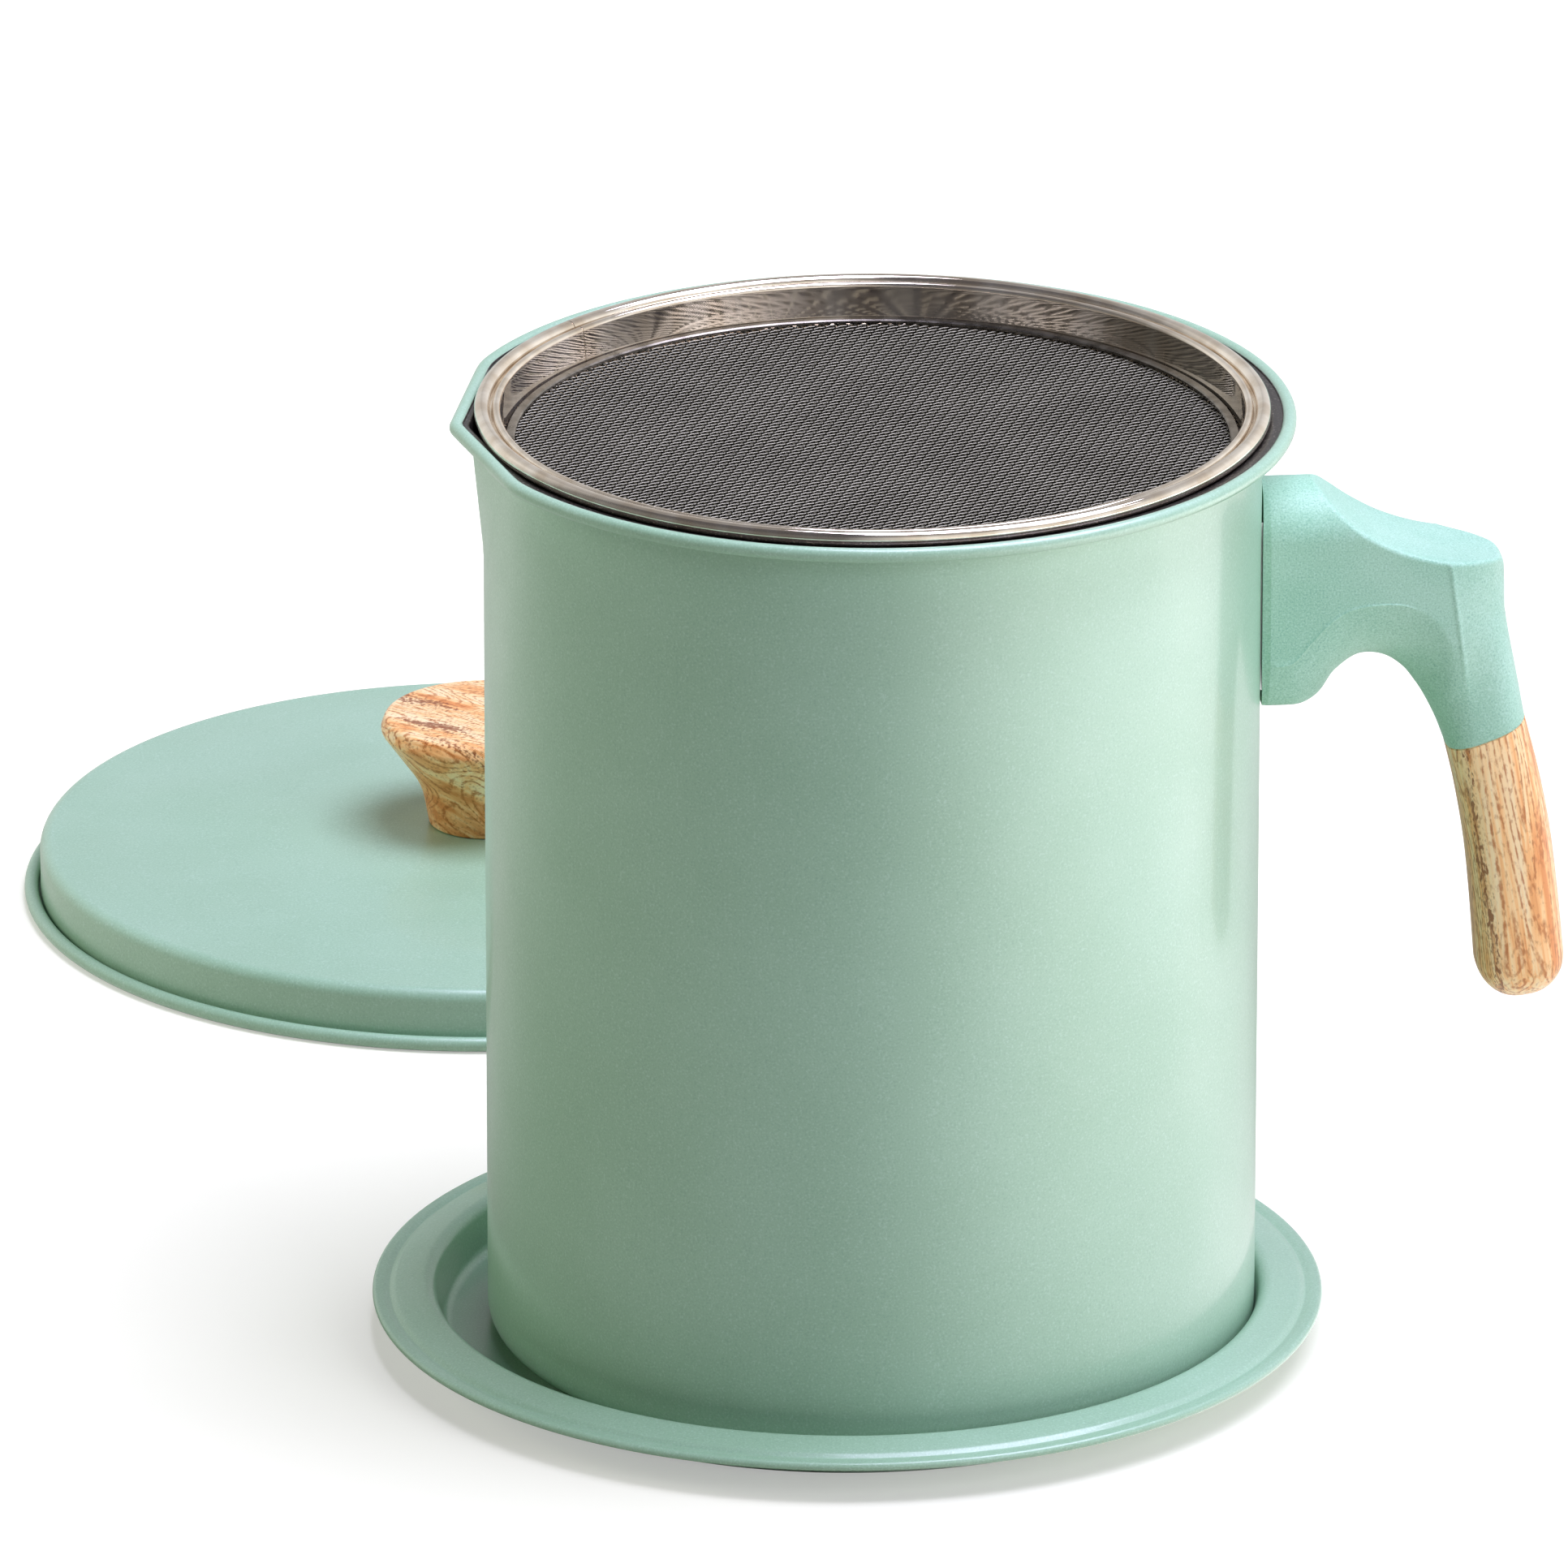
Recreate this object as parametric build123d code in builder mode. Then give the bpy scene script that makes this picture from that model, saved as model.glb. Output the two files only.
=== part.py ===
from build123d import *
import os
from math import acos, cos, hypot, radians, sin, sqrt

# A grease keeper that stands in its drip tray: a tall pot with a pouring lip and a side handle,
# a fine strainer that hangs in the pot's mouth, and a knobbed lid lying behind it.
# Frame: +Z up, origin on the floor under the pot's axis, handle towards +X, pouring lip towards -X.

os.makedirs("parts", exist_ok=True)

# ---------------------------------------------------------------- driving dimensions, millimetres

# Pot, drawn from sheet
pot_radius = 70.0            # outside of the straight wall
pot_height = 175.5           # from its base to the top of the curled rim
pot_sheet = 0.9
pot_corner = 4.5             # outside radius between base and wall
pot_foot = 7.0               # width of the ring that the pot stands on
base_rise = 0.7              # how far the middle of the base is pressed up
base_step = 1.4              # width of the slope up to it
rim_overhang = 6.1           # from the wall to the outside of the curl
rim_curl = 1.3               # radius of the curl's section
flare_radius = 3.5           # inside radius where the wall turns out to the ledge

# Pouring lip, pressed out of the wall
lip_height = 26.0            # how far down the wall the lip starts
lip_reach = 4.1              # how far its tip stands out of the wall at the ledge
lip_bulge = 2.2              # how far its ridge stands out where the flare begins
lip_half_angle = 13.5        # degrees, half of the V's opening seen from above
lip_spread = 14.0            # degrees each way that the V covers on the wall
lip_point_spread = 3.5       # the same at the lip's lower end
lip_root = 16.4              # how far inside the wall the V's solid wedge begins
lip_tip_radius = 7.0
lip_blend = 30.0             # radius that joins the straight flanks to the round rim
tip_overrun = 0.3            # how far the rim's tip passes the round rim

# Drip tray, pressed from sheet
tray_sheet = 0.8
tray_well_depth = 8.9        # from the floor to the sheet's middle at the well's edge
tray_well_play = 5.4         # how much wider the well's mouth is than the pot, in radius
tray_well_taper = 1.9        # how much the well narrows towards its floor, in radius
tray_brim = 10.9             # from the well's edge to the outside of the tray
tray_brim_fall = 1.7         # how much lower the brim's outer edge is
tray_curl = 0.8
tray_foot_round = 2.5
tray_edge_round = 1.9

# Play between separate pieces
seat_gap = 0.2               # under a piece that only rests on another
side_gap = 0.3               # between the pot and the well's side where they come closest
weld_gap = 0.02              # between sheet parts that are welded or crimped together
thread_gap = 0.03
dome_relief = 0.05           # between the washer and the domed sheet above it
thread_chamfer = 0.4
slip_gap = 0.25              # round a fastener or a bracket that slides in
cut_past = 1.0               # how far a cutting shape passes the surface that it leaves by

# Handle: a moulded arm and a grip below it
handle_drop = 16.0           # from the top of the rim to the top of the arm
root_gap = 0.6               # between the wall and the arm's root
root_height = 42.0
arm_width = 22.0
arm_reach = 44.6             # from the wall to the arm's outer face
arm_nose = 9.5               # rounding of the outer face's upright edges
arm_top_round = 9.0          # rounding of the root's upper edges
arm_under_round = 6.0        # rounding of the arch's edges
root_bottom_length = 6.5
arch_rise = 9.3              # from the root's underside to the top of the arch
arch_half_width = 8.4        # half of the width of the arch over the fingers, at its shoulders
arch_shoulder_fall = 6.6     # from the top of the arch down to its shoulders
knee_height = 25.0           # from the arm's top down to where the outer face starts to lean
thumb_start = 9.0            # from the wall to where the thumb rest begins
thumb_dip = 13.4             # how deep the thumb rest is at the far end of its level stretch
thumb_level_in = 10.1        # from the arm's outer face in to that far end
thumb_fall = 2.0             # how much further it falls to the arm's outer face
seam_in_by = 2.9             # from the arm's outer face in to the middle of the seam with the grip
seam_drop = 49.2             # from the arm's top to the middle of the seam
seam_tilt = 21.4             # degrees, outer end up
seam_width = 17.6            # across the handle at the seam
grip_run = 43.8              # from the seam's middle to the centre of the grip's round end
grip_lean = 8.6              # degrees from upright, foot outward
grip_end_radius = 8.1
grip_top_half = 7.3          # half of the grip's thickness at the seam
handle_round = 6.6           # rounding of the long edges of arm and grip
grip_stud_radius = 2.5
grip_stud_above = 13.0       # how far the stud reaches into the arm
grip_nut_radius = 4.2
grip_nut_length = 12.0
grip_nut_head = 2.4
grip_nut_sink = 1.0          # how far its head lies inside the grip's end
grip_spigot = 4.0            # length of the arm's square spigot in the grip
grip_spigot_side = 8.4

# Handle bracket and its screw
bracket_sheet = 1.5
bracket_plate_width = 18.0
bracket_plate_height = 32.0
bracket_box_width = 12.0
bracket_box_height = 20.0
bracket_box_length = 16.0
handle_screw_reach = 9.0     # from the wall to the screw's axis
handle_screw_radius = 2.0
handle_screw_head = 3.6
handle_screw_head_height = 2.4
handle_screw_sink = 6.0      # depth of the hole that hides its head
handle_screw_past = 2.5      # how far the screw passes its nut
bracket_nut_flats = 7.0
bracket_nut_height = 3.2
lock_washer_radius = 3.5
lock_washer_height = 0.9
screw_slot = 0.9             # width of the cross recess in a screw's head

# Strainer
strainer_sheet = 0.6
strainer_bead = 1.4          # radius of the rolled rim's section
strainer_play = 3.2          # from the ring of the rolled rim's centre to the rim curl, beside it
strainer_ridge = 0.8         # radius of the second, inner ridge
strainer_ridge_in = 2.6      # from the rolled rim's centre to the ridge's centre
strainer_depth = 6.4         # from the rolled rim's centre to the mesh
strainer_wall_in = 3.8       # from the rolled rim's centre to the wall's foot
strainer_flange = 2.0        # width of the flange under the mesh
mesh_thickness = 0.5
mesh_openings = 11           # openings across the plain grid that stands for the weave
mesh_bar = 1.6               # width of the grid's bars
mesh_edge = 2.4              # width of the mesh's solid edge, under the clamp ring and beside it
clamp_ring_width = 1.5
clamp_ring_height = 0.7
clamp_ring_chamfer = 0.25

# Lid
lid_radius = 86.5            # outside of the skirt
lid_sheet = 0.8
lid_skirt = 11.4             # from the floor to the top of the skirt
lid_dome = 2.5               # rise of the middle of the lid
lid_edge_round = 2.0
lid_curl = 1.4
lid_curl_out = 3.1           # from the skirt to the outside of the curl
lid_flat_edge = 3.5          # flat strip inside the lid's edge
lid_gap = 58.3               # from the tray's edge to the lid's edge, where they are nearest
lid_bearing = 101.7          # degrees, direction from the tray to the lid

# Lid knob and its fasteners
knob_base_radius = 11.0
knob_neck_radius = 12.4
knob_neck_height = 8.0
knob_radius = 20.2
knob_edge_height = 19.6
knob_edge_round = 2.4        # half of the height of the rounding at the knob's widest line
knob_edge_in = 1.2           # how far that rounding draws in at its ends
knob_height = 22.6
insert_radius = 3.4
insert_length = 10.0
knob_screw_radius = 2.0
knob_screw_length = 10.0
knob_screw_head = 4.1
knob_screw_head_height = 2.3
knob_washer_radius = 6.0
knob_washer_height = 0.9
knob_screw_past = 1.0        # room above the insert

# ---------------------------------------------------------------- places worked out from them

pot_base = tray_sheet + seat_gap
pot_inner = pot_radius - pot_sheet
rim_top = pot_base + pot_height
curl_z = rim_top - rim_curl
curl_r = pot_radius + rim_overhang - rim_curl
ledge_top = curl_z + pot_sheet / 2
ledge_under = ledge_top - pot_sheet
flare_z = ledge_top - flare_radius
flare_r = pot_inner + flare_radius

side_touch_fall = (tray_well_depth - pot_base - pot_corner) / tray_well_depth
tray_x = side_gap + tray_well_taper * side_touch_fall - tray_well_play
tray_mouth = pot_radius + tray_well_play
tray_radius = tray_mouth + tray_brim + tray_sheet / 2

handle_top = rim_top - handle_drop
root_bottom = handle_top - root_height
root_x = pot_radius + root_gap
arm_out = pot_radius + arm_reach
seam_length = 2 * grip_top_half / cos(radians(seam_tilt - grip_lean))
seam_mid = Vector(arm_out - seam_in_by, 0, handle_top - seam_drop)

bead_r = curl_r - strainer_play - strainer_bead
bead_z = flare_z + sqrt((flare_radius + strainer_bead + seat_gap) ** 2 - (flare_r - bead_r) ** 2)
mesh_z = bead_z - strainer_depth

lid_outer = lid_radius + lid_curl_out
lid_distance = tray_radius + lid_gap + lid_outer
lid_x = tray_x + lid_distance * cos(radians(lid_bearing))
lid_y = lid_distance * sin(radians(lid_bearing))
lid_top = lid_skirt + lid_dome


def upright_plane(x, y=0.0):
    """Plane through a vertical axis at x, y: local x runs out from the axis, local y runs up."""
    return Plane(origin=(x, y, 0), x_dir=(1, 0, 0), z_dir=(0, -1, 0))


def upright_axis(x, y=0.0):
    return Axis((x, y, 0), (0, 0, 1))


def save(part, name):
    part.label = name
    export_step(part, f"parts/{name}.step")


# ---------------------------------------------------------------- drip tray
# One pressed sheet: a flat floor, a well with sloping sides, a falling brim and a curled edge.

tray_floor_r = tray_mouth - tray_well_taper + tray_sheet / 2
tray_curl_r = tray_radius - tray_curl
tray_curl_z = tray_well_depth - tray_brim_fall + tray_sheet / 2 - tray_curl

with BuildPart() as tray_pan:
    with BuildSketch(upright_plane(tray_x)):
        with BuildLine():
            FilletPolyline(
                (0, tray_sheet / 2),
                (tray_floor_r, tray_sheet / 2),
                (tray_mouth + tray_sheet / 2, tray_well_depth),
                (tray_curl_r, tray_well_depth - tray_brim_fall),
                radius=[tray_foot_round, tray_edge_round],
            )
        trace(line_width=tray_sheet)
        with Locations((tray_curl_r, tray_curl_z)):
            Circle(tray_curl)
    revolve(axis=upright_axis(tray_x))
save(tray_pan.part, "tray_pan")

# ---------------------------------------------------------------- pot shell
# A drawn cup: foot ring, straight wall, a flare to a narrow ledge, and a curled rim. The pouring
# lip is a shallow V pressed out of the wall. The rim runs straight along both of its flanks.


def cup_outline(inset, top):
    """Half section of the cup, inset from its outside by a sheet or by nothing, up to a height."""
    radius = pot_radius - inset
    floor = pot_base + inset
    corner = pot_corner - inset
    foot_out = pot_radius - pot_corner
    foot_in = foot_out - pot_foot
    ledge = ledge_under + inset
    with BuildLine() as outline:
        Polyline(
            (0, top),
            (0, floor + base_rise),
            (foot_in - base_step, floor + base_rise),
            (foot_in, floor),
            (foot_out, floor),
        )
        RadiusArc((foot_out, floor), (radius, floor + corner), -corner)
        Line((radius, floor + corner), (radius, flare_z))
        RadiusArc((radius, flare_z), (flare_r, ledge), flare_radius - pot_sheet + inset)
        Polyline((flare_r, ledge), (flare_r, top), (0, top))
    return outline.line


def lip_section(height, reach, spread, inset):
    """Wedge of the pouring lip at one height: its tip, and two feet well inside the wall."""
    with BuildSketch(Plane.XY.offset(height)) as section:
        with BuildLine():
            foot = Vector(pot_radius - inset, 0).rotate(Axis.Z, 180 - spread)
            tip = (-(pot_radius + reach - inset), 0)
            inside = (-(pot_radius - lip_root), 0)
            Polyline(tip, (foot.X, foot.Y), inside, (foot.X, -foot.Y), close=True)
        make_face()
    return section.sketch


def lip_wedge(inset, top):
    """The pouring lip as a solid wedge, from its point low on the wall up to the ledge."""
    with BuildPart() as wedge:
        loft(
            [
                lip_section(ledge_top - lip_height, 0.0, lip_point_spread, inset),
                lip_section(flare_z, lip_bulge, lip_spread, inset),
                lip_section(top, lip_reach, lip_spread, inset),
            ],
            ruled=True,
        )
    return wedge.part


def rim_line(radius, tip):
    """Round line of the rim, with a straight flank on each side of the pouring lip's tip."""
    flank = radians(lip_half_angle)
    turn = flank + acos(tip * cos(flank) / radius)
    joint = (-radius * cos(turn), radius * sin(turn))
    with BuildSketch(Plane.XY.offset(curl_z)) as outline:
        with BuildLine():
            ThreePointArc(joint, (radius, 0), (joint[0], -joint[1]))
            Polyline((joint[0], -joint[1]), (-tip, 0), joint)
        make_face()
        fillet(outline.vertices().sort_by(Axis.X)[0], lip_tip_radius)
        across = outline.vertices().group_by(Axis.Y)
        fillet(across[0] + across[-1], lip_blend)
    return outline.sketch


rim_face = rim_line(curl_r, curl_r + tip_overrun)

with BuildPart() as pot_shell:
    with BuildSketch(Plane.XZ):
        add(cup_outline(0, ledge_top))
        make_face()
    revolve(axis=Axis.Z)
    add(lip_wedge(0, ledge_top))
    with BuildSketch(Plane.XY.offset(ledge_under)):
        add(rim_face)
    extrude(amount=pot_sheet)
    with BuildSketch(Plane.XZ):
        add(cup_outline(pot_sheet, rim_top))
        make_face()
    revolve(axis=Axis.Z, mode=Mode.SUBTRACT)
    add(lip_wedge(pot_sheet, ledge_top + pot_sheet), mode=Mode.SUBTRACT)
    with BuildLine() as rim_path:
        add(rim_face.wire())
    with BuildSketch(Plane(origin=rim_path.line @ 0, z_dir=rim_path.line % 0)):
        Circle(rim_curl)
    sweep(path=rim_path.line)
save(pot_shell.part, "pot_shell")

# ---------------------------------------------------------------- handle bracket and its nut
# A plate bent to the wall and welded to it, with a square box that the arm slides over. The nut
# is welded inside the box, over the hole that the screw comes up through.

box_mid = root_bottom + root_height / 2
box_under = box_mid - bracket_box_height / 2
box_end = pot_radius + bracket_box_length
screw_x = pot_radius + handle_screw_reach
nut_under = box_under + bracket_sheet + weld_gap
nut_radius = bracket_nut_flats / (2 * cos(radians(30)))

with BuildPart() as handle_bracket:
    with BuildSketch(Plane.XY.offset(box_mid)):
        Circle(pot_radius + weld_gap + bracket_sheet)
        Circle(pot_radius + weld_gap, mode=Mode.SUBTRACT)
        with Locations((pot_radius, 0)):
            Rectangle(pot_radius, bracket_plate_width, mode=Mode.INTERSECT)
    extrude(amount=bracket_plate_height / 2, both=True)
    box_start = pot_radius + bracket_sheet / 2
    with Locations(((box_start + box_end) / 2, 0, box_mid)):
        Box(box_end - box_start, bracket_box_width, bracket_box_height)
        Box(
            box_end - box_start,
            bracket_box_width - 2 * bracket_sheet,
            bracket_box_height - 2 * bracket_sheet,
            mode=Mode.SUBTRACT,
        )
    with Locations((screw_x, 0, box_under)):
        Cylinder(handle_screw_radius + slip_gap, 3 * bracket_sheet, mode=Mode.SUBTRACT)
save(handle_bracket.part, "handle_bracket")

with BuildPart() as bracket_nut:
    with BuildSketch(Plane.XY.offset(nut_under)):
        with Locations((screw_x, 0)):
            RegularPolygon(nut_radius, 6)
            Circle(handle_screw_radius + thread_gap, mode=Mode.SUBTRACT)
    extrude(amount=bracket_nut_height)
save(bracket_nut.part, "bracket_nut")

# ---------------------------------------------------------------- handle arm
# One moulding: a deep root against the wall, a level arm with a leaf-shaped thumb rest, an arch
# over the fingers, and a leg that ends in a sloping seam with a square spigot.

grip_along = Vector(0, 0, -1).rotate(Axis.Y, -grip_lean)
grip_across = Vector(1, 0, 0).rotate(Axis.Y, -grip_lean)
seam_along = Vector(1, 0, 0).rotate(Axis.Y, -seam_tilt)
seam_in = seam_mid - seam_along * (seam_length / 2)
seam_out = seam_mid + seam_along * (seam_length / 2)
head_seat = root_bottom + handle_screw_sink
seam_plane = Plane(origin=seam_mid, x_dir=(0, 1, 0), z_dir=grip_along)
grip_tip = seam_mid + grip_along * (grip_run + grip_end_radius)
tip_plane = Plane(origin=grip_tip, x_dir=(0, 1, 0), z_dir=grip_along)


def side_points(*vectors):
    """Points of the side view, from points in space."""
    return [(v.X, v.Z) for v in vectors]


with BuildPart() as handle_arm:
    start_x = pot_radius - pot_sheet
    inner_point, outer_point = side_points(seam_in, seam_out)
    arch_end = (pot_radius + root_bottom_length, root_bottom)
    arch_x = (arch_end[0] + seam_in.X) / 2
    arch_top = root_bottom + arch_rise
    shoulder = arch_top - arch_shoulder_fall
    with BuildSketch(Plane.XZ):
        with BuildLine():
            Polyline(
                arch_end,
                (start_x, root_bottom),
                (start_x, handle_top),
                (arm_out, handle_top),
                (arm_out, handle_top - knee_height),
                outer_point,
                inner_point,
            )
            Spline(
                inner_point,
                (arch_x + arch_half_width, shoulder),
                (arch_x, arch_top),
                (arch_x - arch_half_width, shoulder),
                arch_end,
                tangents=[(-0.35, 1), (-1, 0)],
            )
        make_face()
    extrude(amount=arm_width / 2, both=True)
    side_edges = handle_arm.faces().filter_by(Axis.Y).edges()
    nose_edges = [e for e in side_edges if e.center().X > seam_mid.X and e.center().Z > seam_out.Z]
    fillet(nose_edges, arm_nose)
    fillet(handle_arm.edges().filter_by(GeomType.BSPLINE), arm_under_round)
    with BuildSketch(Plane.YZ.offset(start_x)) as front:
        with BuildLine():
            Polyline(
                (arm_width / 2, handle_top),
                (arm_width / 2, handle_top - knee_height),
                (seam_width / 2, seam_out.Z),
                (seam_width / 2, seam_in.Z - seam_length),
                (-seam_width / 2, seam_in.Z - seam_length),
                (-seam_width / 2, seam_out.Z),
                (-arm_width / 2, handle_top - knee_height),
                (-arm_width / 2, handle_top),
                close=True,
            )
        make_face()
        fillet(front.vertices().group_by(Axis.Y)[-1], arm_top_round)
    extrude(amount=2 * arm_reach, mode=Mode.INTERSECT)
    # thumb rest, scooped out of the rounded top so that it starts in a point
    with BuildSketch(Plane.XZ):
        with BuildLine():
            rest_start = (pot_radius + thumb_start, handle_top)
            rest_level = (arm_out - thumb_level_in, handle_top - thumb_dip)
            rest_end = (arm_out + cut_past, handle_top - thumb_dip - thumb_fall)
            Spline(rest_start, rest_level, rest_end, tangents=[(1, -1), (1, -0.3)])
            Polyline(rest_end, (arm_out + cut_past, handle_top), rest_start)
        make_face()
    extrude(amount=arm_width, both=True, mode=Mode.SUBTRACT)
    # the root follows the wall, and is hollow for the bracket
    with Locations((0, 0, handle_top - root_height / 2)):
        Cylinder(root_x, 2 * root_height, mode=Mode.SUBTRACT)
    plate_room = pot_radius + weld_gap + bracket_sheet + slip_gap
    with BuildSketch(Plane.XY.offset(box_mid)):
        Circle(plate_room)
        with Locations((pot_radius, 0)):
            Rectangle(pot_radius, bracket_plate_width + 2 * slip_gap, mode=Mode.INTERSECT)
    extrude(amount=bracket_plate_height / 2 + slip_gap, both=True, mode=Mode.SUBTRACT)
    room_length = box_end + slip_gap - pot_radius
    with Locations((pot_radius + room_length / 2, 0, box_mid)):
        Box(
            room_length,
            bracket_box_width + 2 * slip_gap,
            bracket_box_height + 2 * slip_gap,
            mode=Mode.SUBTRACT,
        )
    # screw hole from below, sunk for its head
    with Locations((screw_x, 0, root_bottom)):
        Cylinder(handle_screw_head + slip_gap, 2 * handle_screw_sink, mode=Mode.SUBTRACT)
        Cylinder(handle_screw_radius + slip_gap, root_height, mode=Mode.SUBTRACT)
    # spigot that keeps the grip from turning, and the hole that the stud is moulded into
    with Locations(seam_plane):
        Box(grip_spigot_side, grip_spigot_side, 2 * grip_spigot)
        Cylinder(grip_stud_radius + thread_gap, 2 * grip_stud_above, mode=Mode.SUBTRACT)
save(handle_arm.part, "handle_arm")

# ---------------------------------------------------------------- handle grip, its stud and nut
# The grip is a second moulding with a wood print. A threaded stud stands out of the arm, and a
# sleeve nut in the grip's round end pulls the grip up against the seam.

grip_side = Plane(origin=seam_mid, x_dir=grip_across, z_dir=(0, -1, 0))
seam_face = Plane(origin=seam_mid, x_dir=seam_along, z_dir=seam_along.cross(Vector(0, 1, 0)))
nut_run = grip_run + grip_end_radius - grip_nut_sink
nut_room = grip_nut_length + grip_nut_sink + slip_gap

with BuildPart() as handle_grip:
    with BuildSketch(grip_side):
        with BuildLine():
            outer = Line((grip_top_half, seam_length / 2), (grip_end_radius, -grip_run))
            end = TangentArc(outer @ 1, (-grip_end_radius, -grip_run), tangent=outer % 1)
            Polyline(end @ 1, (-grip_top_half, seam_length / 2), outer @ 0)
        make_face()
    extrude(amount=seam_width / 2, both=True)
    long_edges = handle_grip.faces().filter_by(Axis.Y).edges()
    fillet(long_edges.sort_by(Axis.Z)[:-2], handle_round)
    split(bisect_by=seam_face, keep=Keep.BOTTOM)
    with Locations(seam_plane):
        Box(
            grip_spigot_side + slip_gap,
            grip_spigot_side + slip_gap,
            2 * (grip_spigot + slip_gap),
            mode=Mode.SUBTRACT,
        )
        Cylinder(grip_stud_radius + slip_gap, 4 * grip_run, mode=Mode.SUBTRACT)
    with Locations(tip_plane):
        Cylinder(grip_nut_radius + slip_gap, 2 * nut_room, mode=Mode.SUBTRACT)
save(handle_grip.part, "handle_grip")

# the nut is a sleeve, open where the stud enters, with a round head sunk in the grip's end
nut_start = seam_mid + grip_along * (nut_run - grip_nut_length)
with BuildPart() as grip_nut:
    with BuildSketch(Plane(origin=nut_start, x_dir=(0, 1, 0), z_dir=grip_along)):
        Circle(grip_nut_radius)
    extrude(amount=grip_nut_length)
    with BuildSketch(Plane(origin=nut_start, x_dir=(0, 1, 0), z_dir=grip_along)):
        Circle(grip_stud_radius + thread_gap)
    extrude(amount=grip_nut_length - grip_nut_head, mode=Mode.SUBTRACT)
save(grip_nut.part, "grip_nut")

with BuildPart() as grip_stud:
    stud_length = grip_stud_above + nut_run - grip_nut_head - slip_gap
    stud_start = seam_mid - grip_along * grip_stud_above
    with BuildSketch(Plane(origin=stud_start, x_dir=(0, 1, 0), z_dir=grip_along)):
        Circle(grip_stud_radius)
    extrude(amount=stud_length)
    chamfer(grip_stud.edges().filter_by(GeomType.CIRCLE), thread_chamfer)
save(grip_stud.part, "grip_stud")

# ---------------------------------------------------------------- handle screw and lock washer
# The screw comes up through the root's underside into the nut in the bracket.


def pan_screw(x, y, seat, radius, length, head_radius, head_height):
    """Screw that points up from its seat, with a domed round head and a cross recess."""
    with BuildPart() as screw:
        with BuildSketch(upright_plane(x, y)):
            with BuildLine():
                Polyline(
                    (0, seat - head_height),
                    (0, seat + length),
                    (radius - thread_chamfer, seat + length),
                    (radius, seat + length - thread_chamfer),
                    (radius, seat),
                    (head_radius, seat),
                    (head_radius, seat - head_height / 2),
                )
                TangentArc((0, seat - head_height), (head_radius, seat - head_height / 2), tangent=(1, 0))
            make_face()
        revolve(axis=upright_axis(x, y))
        with Locations((x, y, seat - head_height)):
            Box(head_radius, screw_slot, head_height, mode=Mode.SUBTRACT)
            Box(screw_slot, head_radius, head_height, mode=Mode.SUBTRACT)
    return screw.part


def flat_washer(x, y, under, inner, outer, height):
    with BuildPart() as washer:
        with BuildSketch(Plane.XY.offset(under)):
            with Locations((x, y)):
                Circle(outer)
                Circle(inner, mode=Mode.SUBTRACT)
        extrude(amount=height)
    return washer.part


washer_under = head_seat - weld_gap - lock_washer_height
screw_seat = washer_under - weld_gap
screw_length = nut_under + bracket_nut_height + handle_screw_past - screw_seat
handle_screw = pan_screw(
    screw_x, 0, screw_seat, handle_screw_radius, screw_length, handle_screw_head, handle_screw_head_height
)
save(handle_screw, "handle_screw")
handle_lock_washer = flat_washer(
    screw_x, 0, washer_under, handle_screw_radius + slip_gap, lock_washer_radius, lock_washer_height
)
save(handle_lock_washer, "handle_lock_washer")

# ---------------------------------------------------------------- strainer
# A strip rolled to a ring: a full bead outside, a smaller ridge inside it, a wall that slopes in,
# and a flange. The mesh lies on the flange and a flat ring is crimped over its edge.

wall_foot_r = bead_r - strainer_wall_in
flange_z = mesh_z - mesh_thickness / 2 - weld_gap - strainer_sheet / 2
mesh_r = wall_foot_r - strainer_sheet

with BuildPart() as strainer_rim:
    with BuildSketch(Plane.XZ):
        with BuildLine():
            FilletPolyline(
                (bead_r, bead_z),
                (bead_r - strainer_ridge_in - strainer_ridge, bead_z),
                (wall_foot_r, flange_z),
                (wall_foot_r - strainer_flange, flange_z),
                radius=strainer_sheet,
            )
        trace(line_width=strainer_sheet)
        with Locations((bead_r, bead_z)):
            Circle(strainer_bead)
        with Locations((bead_r - strainer_ridge_in, bead_z)):
            Circle(strainer_ridge)
    revolve(axis=Axis.Z)
save(strainer_rim.part, "strainer_rim")

# the fine weave is modelled as a plain grid, with only the openings that are whole
grid_r = mesh_r - mesh_edge
grid_pitch = 2 * grid_r / mesh_openings
opening_side = grid_pitch - mesh_bar


def inside_grid(place):
    reach = Vector(abs(place.position.X), abs(place.position.Y)) + Vector(opening_side, opening_side) / 2
    return hypot(reach.X, reach.Y) <= grid_r


with BuildPart() as strainer_mesh:
    with BuildSketch(Plane.XY.offset(mesh_z)):
        Circle(mesh_r)
        openings = GridLocations(grid_pitch, grid_pitch, mesh_openings, mesh_openings)
        with Locations([place for place in openings if inside_grid(place)]):
            Rectangle(opening_side, opening_side, mode=Mode.SUBTRACT)
    extrude(amount=mesh_thickness / 2, both=True)
save(strainer_mesh.part, "strainer_mesh")

with BuildPart() as mesh_clamp_ring:
    with BuildSketch(Plane.XY.offset(mesh_z + mesh_thickness / 2 + weld_gap)):
        Circle(mesh_r)
        Circle(mesh_r - clamp_ring_width, mode=Mode.SUBTRACT)
    extrude(amount=clamp_ring_height)
    top_edges = mesh_clamp_ring.edges().group_by(Axis.Z)[-1]
    chamfer(top_edges.sort_by(SortBy.RADIUS)[0], clamp_ring_chamfer)
save(mesh_clamp_ring.part, "mesh_clamp_ring")

# ---------------------------------------------------------------- lid
# One pressed sheet: a gently domed plate, a rounded edge, a skirt and a curled foot.

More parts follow.
